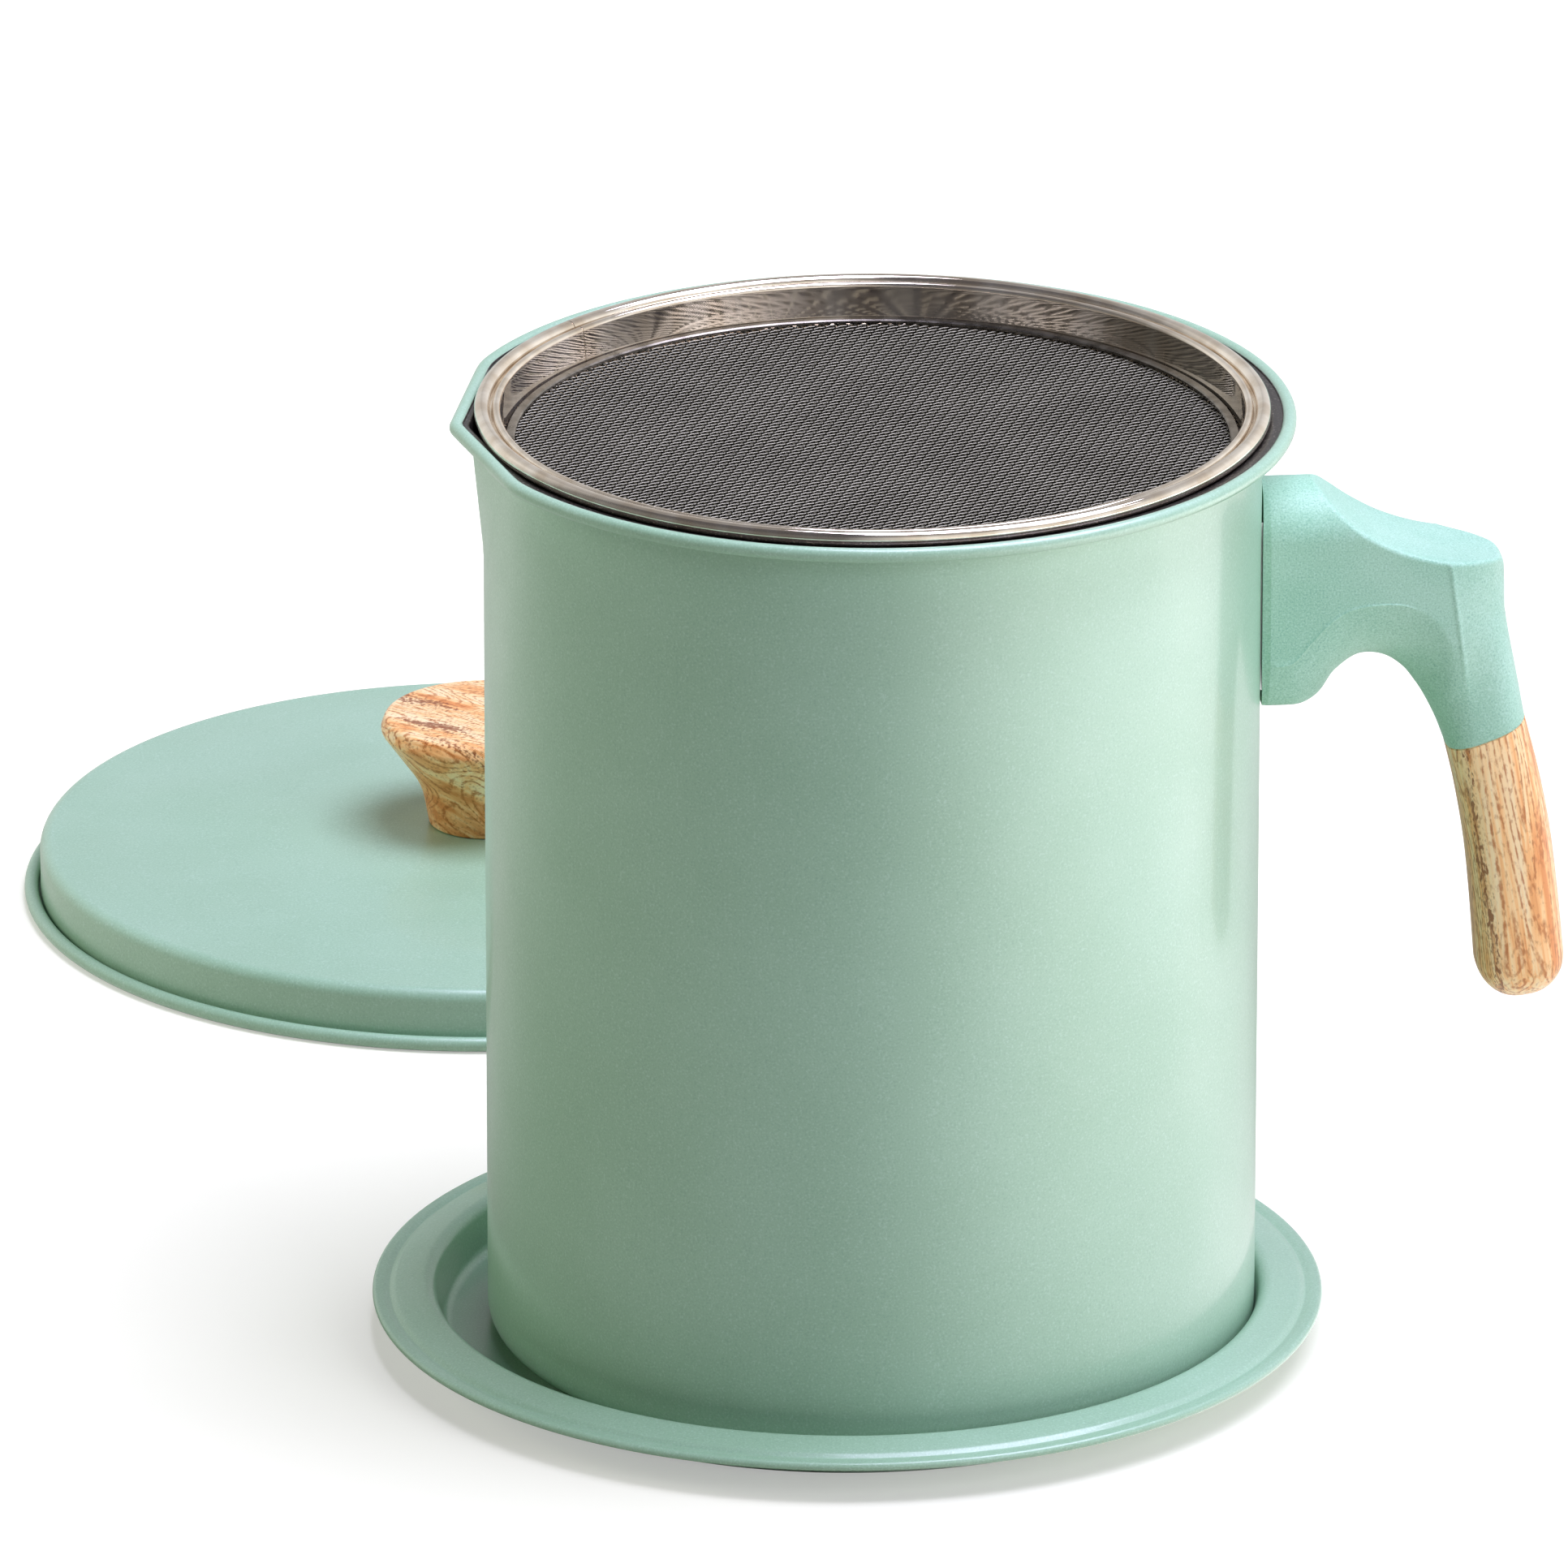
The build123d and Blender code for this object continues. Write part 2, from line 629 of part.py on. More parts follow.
lid_mid_r = lid_radius - lid_sheet / 2
lid_flat_r = lid_radius - lid_flat_edge
lid_plate_z = lid_skirt - lid_sheet / 2
lid_middle_z = lid_top - lid_sheet / 2
lid_curl_r = lid_outer - lid_curl
screw_hole = knob_screw_radius + slip_gap

with BuildPart() as lid_shell:
    with BuildSketch(upright_plane(lid_x, lid_y)):
        with BuildLine():
            ThreePointArc(
                (0, lid_middle_z),
                (lid_flat_r / 2, lid_middle_z - lid_dome / 4),
                (lid_flat_r, lid_plate_z),
            )
            FilletPolyline(
                (lid_flat_r, lid_plate_z),
                (lid_mid_r, lid_plate_z),
                (lid_mid_r, lid_curl),
                (lid_curl_r, lid_curl),
                radius=[lid_edge_round, lid_sheet],
            )
        trace(line_width=lid_sheet)
        with Locations((lid_curl_r, lid_curl)):
            Circle(lid_curl)
        with Locations((-lid_radius, 0)):
            Rectangle(2 * lid_radius, 4 * lid_top, mode=Mode.SUBTRACT)
    revolve(axis=upright_axis(lid_x, lid_y))
    with Locations((lid_x, lid_y, lid_top)):
        Cylinder(screw_hole, 4 * lid_sheet, mode=Mode.SUBTRACT)
save(lid_shell.part, "lid_shell")

# ---------------------------------------------------------------- lid knob and its fasteners
# A turned knob, hollow at its foot for a threaded insert. A screw comes up through a washer and
# the lid into the insert.

knob_foot = lid_top + weld_gap
edge_z = knob_foot + knob_edge_height
edge_start = (knob_radius - knob_edge_in, edge_z - knob_edge_round)
edge_out = (knob_radius, edge_z)
edge_top = (knob_radius - knob_edge_in, edge_z + knob_edge_round)

with BuildPart() as lid_knob:
    with BuildSketch(upright_plane(lid_x, lid_y)):
        with BuildLine():
            Line((0, knob_foot), (knob_base_radius, knob_foot))
            Spline(
                (knob_base_radius, knob_foot),
                (knob_neck_radius, knob_foot + knob_neck_height),
                edge_start,
                tangents=[(0.1, 1), (1, 0.8)],
            )
            ThreePointArc(edge_start, edge_out, edge_top)
            TangentArc((0, knob_foot + knob_height), edge_top, tangent=(1, 0))
            Line((0, knob_foot + knob_height), (0, knob_foot))
        make_face()
    revolve(axis=upright_axis(lid_x, lid_y))
    with Locations((lid_x, lid_y, knob_foot)):
        Cylinder(
            insert_radius + thread_gap,
            insert_length + knob_screw_past,
            align=(Align.CENTER, Align.CENTER, Align.MIN),
            mode=Mode.SUBTRACT,
        )
save(lid_knob.part, "lid_knob")

knob_insert = flat_washer(
    lid_x, lid_y, knob_foot, knob_screw_radius + thread_gap, insert_radius, insert_length
)
save(knob_insert, "knob_insert")

knob_washer_under = lid_top - lid_sheet - dome_relief - knob_washer_height
knob_washer = flat_washer(
    lid_x, lid_y, knob_washer_under, screw_hole, knob_washer_radius, knob_washer_height
)
save(knob_washer, "knob_washer")

knob_screw = pan_screw(
    lid_x,
    lid_y,
    knob_washer_under - weld_gap,
    knob_screw_radius,
    knob_screw_length,
    knob_screw_head,
    knob_screw_head_height,
)
save(knob_screw, "knob_screw")
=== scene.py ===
from math import cos, exp, pi, radians, sin, sqrt, tan

import bmesh
import bpy
from mathutils import Matrix, Vector


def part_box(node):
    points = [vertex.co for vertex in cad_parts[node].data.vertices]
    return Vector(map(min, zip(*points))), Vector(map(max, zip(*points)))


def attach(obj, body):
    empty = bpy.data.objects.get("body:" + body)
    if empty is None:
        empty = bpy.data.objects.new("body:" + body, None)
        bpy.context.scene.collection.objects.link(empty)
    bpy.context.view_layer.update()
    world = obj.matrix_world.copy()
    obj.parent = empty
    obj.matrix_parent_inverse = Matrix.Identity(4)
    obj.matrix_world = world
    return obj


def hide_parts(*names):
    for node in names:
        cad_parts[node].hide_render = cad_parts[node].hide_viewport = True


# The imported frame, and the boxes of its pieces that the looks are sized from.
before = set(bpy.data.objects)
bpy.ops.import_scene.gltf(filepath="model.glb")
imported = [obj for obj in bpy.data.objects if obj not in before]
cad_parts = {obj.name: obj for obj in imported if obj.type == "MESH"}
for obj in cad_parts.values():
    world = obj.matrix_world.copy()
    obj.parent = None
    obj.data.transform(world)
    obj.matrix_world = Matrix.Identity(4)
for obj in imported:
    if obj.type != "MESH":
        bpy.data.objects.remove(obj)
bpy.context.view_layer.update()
mm = 0.001

# ---------------------------------------------------------------------------- drip tray
# One pressed steel sheet under the pot: a flat floor, a well, a falling brim and a hem curled
# under its edge. Outside and inside wear the same sage green enamel, sprayed and baked.

tray_low, tray_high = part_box("tray_pan")
tray_middle = (tray_low + tray_high) / 2
tray_radius = (tray_high.x - tray_low.x) / 2
tray_sheet = 0.8 * mm
tray_hem = 0.8 * mm              # radius of the curled edge
tray_brim_width = 10.9 * mm
tray_well_depth = 8.9 * mm
tray_well_taper = 1.9 * mm
tray_brim_fall = 1.7 * mm
tray_foot_round = 2.5 * mm
tray_brow_round = 1.9 * mm
tray_groove = 0.35 * mm          # depth of the drawn line just inside the hem
tray_groove_start, tray_groove_middle, tray_groove_end = 3.4 * mm, 2.4 * mm, 1.1 * mm
tray_groove_round = 0.8 * mm
tray_fall_share = 0.72           # of the brim's fall, done where that line starts
tray_brim_round = 1.2 * mm


def rounded(corners, step=radians(8)):
    """Points of a line through corners (across, up) or (across, up, radius of its rounding)."""
    line = []
    for place, corner in enumerate(corners):
        here = Vector(corner[:2])
        if len(corner) == 2:
            line.append(here)
            continue
        back = (Vector(corners[place - 1][:2]) - here).normalized()
        onward = (Vector(corners[place + 1][:2]) - here).normalized()
        turn = pi - back.angle(onward)
        left = 1 if back.x * onward.y < back.y * onward.x else -1
        middle = here + (back + onward).normalized() * corner[2] / cos(turn / 2)
        spoke = here + back * corner[2] * tan(turn / 2) - middle
        steps = max(2, round(turn / step))
        for k in range(steps + 1):
            line.append(middle + Matrix.Rotation(left * turn * k / steps, 2) @ spoke)
    return line


def arc(middle, radius, start, end, step=12):
    """Points of an arc from start to end, in degrees."""
    steps = max(2, round(abs(end - start) / step))
    turns = [radians(start + (end - start) * k / steps) for k in range(steps + 1)]
    return [Vector(middle) + Vector((cos(t), sin(t))) * radius for t in turns]


def sheet_section(line, thickness):
    """Section of a sheet that follows a line: up its left side and back down its right."""
    sides = []
    for place, here in enumerate(line):
        along = (line[min(place + 1, len(line) - 1)] - line[max(place - 1, 0)]).normalized()
        sides.append(Vector((-along.y, along.x)) * thickness / 2)
    left = [here + side for here, side in zip(line, sides)]
    right = [here - side for here, side in zip(line, sides)]
    return left + right[::-1]


def spin(sections, turns, middle):
    """Points and faces of sections turned round an upright axis, one section for each turn."""
    points = [
        (middle.x + spot.x * cos(turn), middle.y + spot.x * sin(turn), spot.y)
        for section, turn in zip(sections, turns)
        for spot in section
    ]
    size, count = len(sections[0]), len(turns)
    faces = []
    for k in range(count):
        this, other = k * size, (k + 1) % count * size
        for j in range(size):
            after = (j + 1) % size
            faces.append((this + j, other + j, other + after, this + after))
    return points, faces


def piece(name, points, faces, materials, body, slot, crease=32, paint=None):
    """Object from points and faces, merged, with its normals outward, riding on a body."""
    mesh = bpy.data.meshes.new(name)
    mesh.from_pydata([tuple(p) for p in points], [], faces)
    if paint:
        mesh.polygons.foreach_set("material_index", paint)
    work = bmesh.new()
    work.from_mesh(mesh)
    bmesh.ops.remove_doubles(work, verts=work.verts, dist=0.002 * mm)
    bmesh.ops.dissolve_degenerate(work, edges=work.edges, dist=0.001 * mm)
    bmesh.ops.recalc_face_normals(work, faces=work.faces)
    work.to_mesh(mesh)
    work.free()
    mesh.shade_smooth()
    mesh.set_sharp_from_angle(angle=radians(crease))
    for material in materials:
        mesh.materials.append(material)
    thing = bpy.data.objects.new(name, mesh)
    bpy.context.scene.collection.objects.link(thing)
    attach(thing, body)
    return thing


def round_piece(name, section, middle, material, body, slot):
    """Piece with the same section all the way round."""
    turns = [radians(2 * k) for k in range(180)]
    return piece(name, *spin([section] * len(turns), turns, middle), [material], body, slot)


def srgb(red, green, blue):
    """Colour for a shader, from the 0 to 255 numbers of a colour chart."""
    line = [c / 255 for c in (red, green, blue)]
    return tuple(c / 12.92 if c <= 0.04045 else ((c + 0.055) / 1.055) ** 2.4 for c in line) + (1.0,)


class Finish:
    """A material and short ways to add its nodes."""

    def __init__(self, name, **settings):
        self.material = bpy.data.materials.new(name)
        self.material.use_nodes = True
        self.tree = self.material.node_tree
        shader = self.tree.nodes["Principled BSDF"]
        self.sockets = {s.name.lower().replace(" ", "_"): s for s in shader.inputs}
        self.settle(**settings)

    def settle(self, **settings):
        """Sets values that are the same all over the surface."""
        for socket, value in settings.items():
            self.sockets[socket].default_value = value

    def add(self, kind, settings=None, **inputs):
        """Node of a kind, with its settings, and its inputs given as values or other sockets."""
        node = self.tree.nodes.new("ShaderNode" + kind)
        for key, value in (settings or {}).items():
            setattr(node, key, value)
        for key, value in inputs.items():
            self.put(node.inputs[key.replace("_", " ")], value)
        return node

    def put(self, socket, value):
        """Gives an input a value, or links another node to it."""
        if isinstance(value, bpy.types.NodeSocket):
            self.tree.links.new(value, socket)
        else:
            socket.default_value = value

    def place(self, stretch=(1, 1, 1), turn=(0, 0, 0)):
        """Place on the object in metres, stretched and turned."""
        spot = self.add("TexCoord").outputs["Object"]
        return self.add("Mapping", Vector=spot, Scale=stretch, Rotation=turn).outputs["Vector"]

    def noise(self, where, scale, detail=2.0, roughness=0.5, distortion=0.0):
        """Cloudy values round 0.5."""
        node = self.add("TexNoise", Vector=where, Scale=scale, Detail=detail, Roughness=roughness)
        node.inputs["Distortion"].default_value = distortion
        return node.outputs["Fac"]

    def ramp(self, value, *stops):
        """Colours at places along a value."""
        node = self.add("ValToRGB", Fac=value)
        marks = node.color_ramp.elements
        while len(marks) < len(stops):
            marks.new(0.5)
        for mark, (spot, colour) in zip(marks, stops):
            mark.position = spot
            mark.color = colour if len(colour) == 4 else (*colour, 1.0)
        return node.outputs["Color"]

    def sums(self, kind, first, second=0.0):
        """Two values put together by one kind of sum."""
        node = self.add("Math", {"operation": kind})
        self.put(node.inputs[0], first)
        self.put(node.inputs[1], second)
        return node.outputs["Value"]

    def spread(self, value, low, high, to_low, to_high):
        """A value's range from low to high, made to run from to_low to to_high."""
        ends = {"From_Min": low, "From_Max": high, "To_Min": to_low, "To_Max": to_high}
        return self.add("MapRange", Value=value, **ends).outputs["Result"]

    def mix(self, factor, first, second):
        """Colour from the first at 0 to the second at 1."""
        node = self.add("Mix", {"data_type": "RGBA"})
        for place, value in ((0, factor), (6, first), (7, second)):
            self.put(node.inputs[place], value)
        return node.outputs[2]

    def bump(self, height, strength, distance, under=None):
        """Relief for the shader, over another one if that is given."""
        node = self.add("Bump", Strength=strength, Distance=distance, Height=height)
        if under is not None:
            self.put(node.inputs["Normal"], under)
        return node.outputs["Normal"]

    def finish(self, **sockets):
        """Puts values or other sockets on the shader, and gives the material."""
        for socket, value in sockets.items():
            self.put(self.sockets[socket], value)
        return self.material


def enamel(name, pale, deep):
    """Sprayed pearl enamel: fine bright flecks, soft clouds of tone and a slight orange peel."""
    look = Finish(name, metallic=0.0, ior=1.5, specular_ior_level=0.75)
    look.settle(coat_weight=0.35, coat_roughness=0.09)
    spot = look.place()
    clouds = look.noise(spot, 22, detail=3)
    tone = look.mix(look.spread(clouds, 0.35, 0.65, 0.0, 1.0), deep, pale)
    grain = look.noise(spot, 2600, detail=1)
    tone = look.mix(look.spread(grain, 0.56, 0.74, 0.0, 0.25), tone, srgb(214, 238, 226))
    tone = look.mix(look.spread(grain, 0.44, 0.28, 0.0, 0.2), tone, srgb(92, 142, 120))
    rough = look.spread(look.noise(spot, 60, detail=4), 0.3, 0.7, 0.34, 0.44)
    peel = look.bump(look.noise(spot, 420, detail=1), 0.08, 0.2 * mm)
    peel = look.bump(grain, 0.06, 0.05 * mm, peel)
    return look.finish(base_color=tone, roughness=rough, normal=peel)


mint_enamel = enamel("mint_enamel", srgb(162, 198, 169), srgb(154, 191, 160))

tray_curl_across = tray_radius - tray_hem
tray_brim_up = tray_well_depth - tray_brim_fall
tray_curl_up = tray_brim_up + tray_sheet / 2 - tray_hem
tray_edge = tray_radius - tray_brim_width - tray_sheet / 2
tray_bend_up = tray_well_depth - tray_brim_fall * tray_fall_share
tray_hem_line = tray_hem - tray_sheet / 2
tray_line = rounded(
    [
        (0, tray_sheet / 2),
        (tray_edge - tray_well_taper + tray_sheet / 2, tray_sheet / 2, tray_foot_round),
        (tray_edge + tray_sheet / 2, tray_well_depth, tray_brow_round),
        (tray_curl_across - tray_groove_start, tray_bend_up, tray_brim_round),
        (tray_curl_across - tray_groove_middle, tray_brim_up - tray_groove, tray_groove_round),
        (tray_curl_across - tray_groove_end, tray_brim_up, tray_groove_round),
        (tray_curl_across, tray_brim_up),
    ]
) + arc((tray_curl_across, tray_curl_up), tray_hem_line, 90, -120)[1:]
tray_section = sheet_section(tray_line, tray_sheet)
tray_section[0].x = tray_section[-1].x = 0
tray = round_piece("tray", tray_section, tray_middle, mint_enamel, "tray", "mint_enamel")
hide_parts("tray_pan")

# ---------------------------------------------------------------------------- pot shell
# A deep drawn steel cup with a foot ring, a narrow ledge under a curled rim, and a shallow V
# pressed out for pouring. Enamel outside and over the curl, a speckled black non-stick inside.

pot_low, pot_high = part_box("pot_shell")
pot_radius = 70.0 * mm
pot_sheet = 0.9 * mm
pot_corner = 4.5 * mm
pot_foot_width = 7.0 * mm
pot_foot_round = 1.5 * mm
pot_base_rise = 0.7 * mm
rim_curl = 1.3 * mm
rim_across = 74.8 * mm           # to the middle of the curl
rim_up = pot_high.z - rim_curl
flare = 3.5 * mm
ledge_up = rim_up                # middle of the sheet on the ledge
ledge_round = 0.35 * mm
flare_up = ledge_up + pot_sheet / 2 - flare
lip_start_up = ledge_up + pot_sheet / 2 - 26.0 * mm
lip_bulge = 2.2 * mm
lip_spread = radians(14.0)
lip_point_spread = radians(3.5)
lip_flank = radians(13.5)
lip_tip_across = 75.1 * mm
lip_reach = radians(60)          # beyond it the rim is plain round
lip_shift_width = 3.3 * mm       # over which the flare moves out with the lip
tip_softness = 0.8 * mm
joint_softness = 0.72 * mm
crease_softness = 0.35 * mm


def soft_min(first, second, softness):
    """The lesser of two, with a round change from one to the other."""
    near = max(softness - abs(first - second), 0.0) / softness
    return min(first, second) - near**2 * softness / 4


def lip_bulge_at(turn, up):
    """How far the pouring lip stands out of the wall, at a turn from its middle and a height."""
    share = min(max((up - lip_start_up) / (flare_up - lip_start_up), 0.0), 1.0)
    spread = lip_point_spread + (lip_spread - lip_point_spread) * share
    if share == 0 or abs(turn) >= spread * 1.02:
        return 0.0
    tip = pot_radius + lip_bulge * share
    run_out, run_side = pot_radius * cos(spread) - tip, pot_radius * sin(spread)
    flank = tip * run_side / (cos(turn) * run_side - sin(abs(turn)) * run_out)
    return -soft_min(-flank, -pot_radius, crease_softness) - pot_radius


def rim_line_at(turn):
    """How far out the rim's curl runs: round, with a straight flank on each side of the tip."""
    if abs(turn) > lip_reach:
        return rim_across
    reach = lip_tip_across * cos(lip_flank)
    flanks = soft_min(reach / cos(turn - lip_flank), reach / cos(turn + lip_flank), tip_softness)
    return flanks if abs(turn) < lip_flank else soft_min(flanks, rim_across, joint_softness)


rim_top = pot_high.z
wall_across = pot_radius - pot_sheet / 2
# heights of the rings on the wall in millimetres, close together where the lip bulges
wall_ups = [20, 60, 100, 140, 149, 150.5, 152, 154, 156.5, 159, 162, 165, 168, 170.5]
foot_out = pot_radius - pot_corner
foot_in = foot_out - pot_foot_width
pot_floor = pot_low.z + pot_sheet / 2
curl_line = rim_curl - pot_sheet / 2
pot_line = rounded(
    [
        (0, pot_floor + pot_base_rise),
        (foot_in - 2 * pot_base_rise, pot_floor + pot_base_rise, pot_foot_round),
        (foot_in, pot_floor, pot_foot_round),
        (wall_across, pot_floor, pot_corner - pot_sheet / 2),
        (wall_across, wall_ups[0] * mm),
    ]
)
pot_line += [Vector((wall_across, up * mm)) for up in wall_ups[1:]]
pot_line += arc((wall_across + flare - pot_sheet / 2, flare_up), flare - pot_sheet / 2, 180, 90)
curl_inside = rim_across - curl_line
ledge_corner = (curl_inside, ledge_up, ledge_round)
pot_line += rounded([pot_line[-1], ledge_corner, (curl_inside, rim_top)])[1:-1]
black_rows = len(pot_line)
pot_line += arc((rim_across, rim_up), curl_line, 150, -140)

pot_section = sheet_section(pot_line, pot_sheet)
pot_section[0].x = pot_section[-1].x = 0
# a section every 0.4 degrees at the lip, and every 1.5 degrees the rest of the way round
pot_turns = [radians(0.4) * k for k in range(-45, 46)]
pot_turns += [radians(18 + 1.5 * k) for k in range(1, 216)]


def pot_section_at(turn):
    """The pot's section at a turn from the lip's middle."""
    near = (turn + pi) % (2 * pi) - pi
    shift_out = rim_line_at(near) - rim_across
    places = []
    for spot in pot_section:
        share = min(max((spot.x - pot_radius) / lip_shift_width, 0.0), 1.0)
        share = share if spot.y > flare_up - 1 * mm else 0.0
        bulge = lip_bulge_at(near, spot.y) if spot.x > pot_radius / 2 else 0.0
        places.append(Vector((spot.x + bulge * (1 - share) + shift_out * share, spot.y)))
    return places


nonstick = Finish("nonstick_coating", metallic=0.0, roughness=0.28, ior=1.45, specular_ior_level=0.6)
nonstick_spot = nonstick.place()
nonstick_specks = nonstick.noise(nonstick_spot, 2300, detail=1)
nonstick_tone = nonstick.ramp(
    nonstick_specks, (0.0, srgb(24, 22, 21)), (0.60, srgb(40, 37, 34)), (0.72, srgb(120, 112, 102))
)
nonstick_coating = nonstick.finish(
    base_color=nonstick_tone, normal=nonstick.bump(nonstick_specks, 0.15, 0.1 * mm)
)

pot_middle = Vector((0, 0, 0))
pot_sections = [pot_section_at(turn) for turn in pot_turns]
pot_points, pot_faces = spin(pot_sections, [turn + pi for turn in pot_turns], pot_middle)
pot_paint = [int(row < black_rows) for turn in pot_turns for row in range(len(pot_section))]
pot_coats = [mint_enamel, nonstick_coating]
pot = piece("pot", pot_points, pot_faces, pot_coats, "pot", "mint_enamel", paint=pot_paint)
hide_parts("pot_shell")

# ---------------------------------------------------------------------------- handle bracket
# A bent steel bracket welded to the wall, with a nut welded inside it. The arm hides both. Its
# screw and washer, its stud and the grip's nut are of the same bright steel.

fastener = Finish("fastener_steel", metallic=1.0, roughness=0.34)
fastener_spot = fastener.place((1, 1, 8))
fastener_marks = fastener.noise(fastener_spot, 400, detail=3)
fastener_steel = fastener.finish(
    base_color=fastener.mix(fastener_marks, srgb(168, 170, 172), srgb(205, 206, 206)),
    roughness=fastener.spread(fastener.noise(fastener_spot, 900), 0.3, 0.7, 0.26, 0.42),
)


def dress(material, *nodes):
    """Gives CAD nodes a material in place of the one that they came with."""
    for node in nodes:
        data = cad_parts[node].data
        data.materials.clear()
        data.materials.append(material)


dress(fastener_steel, "handle_bracket", "bracket_nut", "handle_screw", "handle_lock_washer")
dress(fastener_steel, "grip_stud", "grip_nut")

# ---------------------------------------------------------------------------- handle arm
# One green plastic moulding with a pearl fleck: a deep root against the wall, a leaf-shaped thumb
# rest, an arch over the fingers with a cove along it, and a leg that the grip is drawn up to.
# The root is hollow for the bracket, and open below for the screw.

arm_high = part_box("handle_arm")[1]
grip_low, grip_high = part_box("handle_grip")
bracket_low, bracket_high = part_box("handle_bracket")
screw_low, screw_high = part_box("handle_screw")
root_across = 70.35 * mm         # round the pot's axis, where the root ends
arm_top = arm_high.z
arm_half = arm_high.y
seam_half = grip_high.y
top_round = 9.0 * mm             # height of the rounding over the root
nose_out = 114.7 * mm
nose_crease = Vector((104.2, 143.0)) * mm
nose_crease_lean = 0.14          # how much the nose's crease leans out on its way down
knee_up = 135.5 * mm             # below it the nose leans out
leg_start = 92.0 * mm            # beyond it the arm narrows on its way down
leg_run = 9.0 * mm
root_from = 70.6 * mm
root_edge = 0.45 * mm            # rounding beside the wall
thumb_dish = 0.6 * mm
leaf_round = 0.8 * mm            # rounding of the thumb rest's edge
root_floor = 0.58                # share of the width that is flat under the root
arch_floor = 0.18                # and under the arch
crease_slope = 0.52              # how sharply the nose and the cove meet the flat sides
crease_bead = 0.2 * mm
crease_bead_width = 0.45 * mm
crease_bead_end = 120.0 * mm     # the nose's bead fades above this height
crease_bead_fade = 6.0 * mm
seam_power = 2.7                 # how square the section is at the seam and in the grip

# side view, station by station from root to seam: underside, crease over the cove, upper line
arm_stations = [
    ((70.6, 119.6), (70.6, 128.6), (70.6, 160.5)),
    ((74.4, 119.6), (74.9, 129.0), (76.0, 160.5)),
    ((77.8, 119.7), (78.2, 132.6), (79.6, 160.4)),
    ((80.8, 121.0), (81.6, 136.3), (83.4, 156.9)),
    ((83.6, 124.7), (85.4, 138.8), (87.4, 153.6)),
    ((87.7, 127.6), (90.2, 139.7), (92.6, 150.6)),
    ((92.2, 127.4), (95.4, 139.4), (98.6, 148.4)),
    ((95.9, 125.0), (100.0, 137.2), (105.2, 147.0)),
    ((98.6, 121.5), (103.0, 133.4), (110.6, 146.2)),
    ((100.2, 118.8), (104.9, 129.0), (113.8, 145.2)),
    ((101.3, 116.6), (106.3, 124.9), (114.7, 141.6)),
    ((102.3, 114.4), (107.7, 121.1), (114.9, 134.4)),
    ((103.3, 111.8), (109.3, 116.4), (116.7, 124.4)),
    ((104.2, 109.3), (111.4, 111.95), (118.6, 114.6)),
]
side_lines = [[Vector(station[k]) * mm for station in arm_stations] for k in range(3)]
seam_in, seam_out = side_lines[0][-1], side_lines[2][-1]
# where along the arm one form starts to turn into the next, and how long that takes, as shares
arch_blend = (0.08, 0.22)        # from the root's floor to the arch's
bead_start = 0.04                # the cove's bead rises up to here
bead_blend = (0.42, 0.12)        # and fades here
crease_blend = (0.52, 0.26)      # the cove's crease softens
seam_blend = (0.70, 0.29)        # from the arm's section to the seam's
station_rings = 18               # rings from one station to the next
cove_spots, flat_spots, edge_spots, cap_spots = 28, 44, 4, 11


def through(points, place):
    """Point on a smooth line through points, at a place counted in points."""
    k = min(int(place), len(points) - 2)
    t = place - k
    ends = [points[min(max(j, 0), len(points) - 1)] for j in (k - 1, k, k + 1, k + 2)]
    bend_in, bend_out = (ends[2] - ends[0]) / 2, (ends[3] - ends[1]) / 2
    return (
        ends[1] * (2 * t**3 - 3 * t**2 + 1)
        + bend_in * (t**3 - 2 * t**2 + t)
        + ends[2] * (3 * t**2 - 2 * t**3)
        + bend_out * (t**3 - t**2)
    )


def eased(value):
    """Rises from 0 to 1 with the value, softly at both ends."""
    value = min(max(value, 0.0), 1.0)
    return value * value * (3 - 2 * value)


def round_off(share, slope):
    """Falls from 1 to 0 as share runs from 0 to 1, like a quarter of an ellipse."""
    share = slope + (1 - slope) * min(max(share, 0.0), 1.0)
    return (max(1 - share**2, 0.0) / (1 - slope**2)) ** 0.5


def pillow(share):
    """Half-width of the grip's section at a share of its depth, as a share of its greatest."""
    return max(1 - abs(2 * share - 1) ** seam_power, 0.0) ** (1 / seam_power)


def flat_half_width(spot):
    """Half of the arm's width at a place in its side view, above the cove."""
    fall = (knee_up - spot.y) / (knee_up - seam_out.y)
    leg = eased((spot.x - leg_start) / leg_run)
    wide = arm_half + (seam_half - arm_half) * eased(fall) * leg
    over = round_off((spot.y - arm_top + top_round) / top_round, 0.0)
    outer = nose_out + max(fall, 0) * (seam_out.x - nose_out)
    from_crease = spot.x - nose_crease.x - (nose_crease.y - spot.y) * nose_crease_lean
    nose = round_off(from_crease / (outer - spot.x + from_crease), crease_slope)
    bead = crease_bead * exp(-((from_crease / crease_bead_width) ** 2))
    bead *= eased((spot.y - crease_bead_end) / crease_bead_fade)
    edge = root_edge * (1 - round_off(1 - (spot.x - root_from) / root_edge, 0.0))
    return wide * over * nose + bead * over - edge


def row_across(end, half, dish):
    """Points from one side of a ring to the other, level with an end of its sides, and dished."""
    row = []
    for k in range(1, cap_spots + 1):
        across = 1 - 2 * k / (cap_spots + 1)
        drop = dish * (1 - across**2)
        row.append((end[0] - drop.x, half * across, end[2] - drop.y))
    return row


def ring_of(side, top_half, sunk):
    """A whole ring from one side's points, with rows across its top and its underside."""
    far_side = [(x, -y, z) for x, y, z in reversed(side)]
    top = row_across(side[-1], top_half, sunk)
    underside = row_across(side[0], -side[0][1], Vector((0, 0)))
    return [*side, *top, *far_side, *underside]


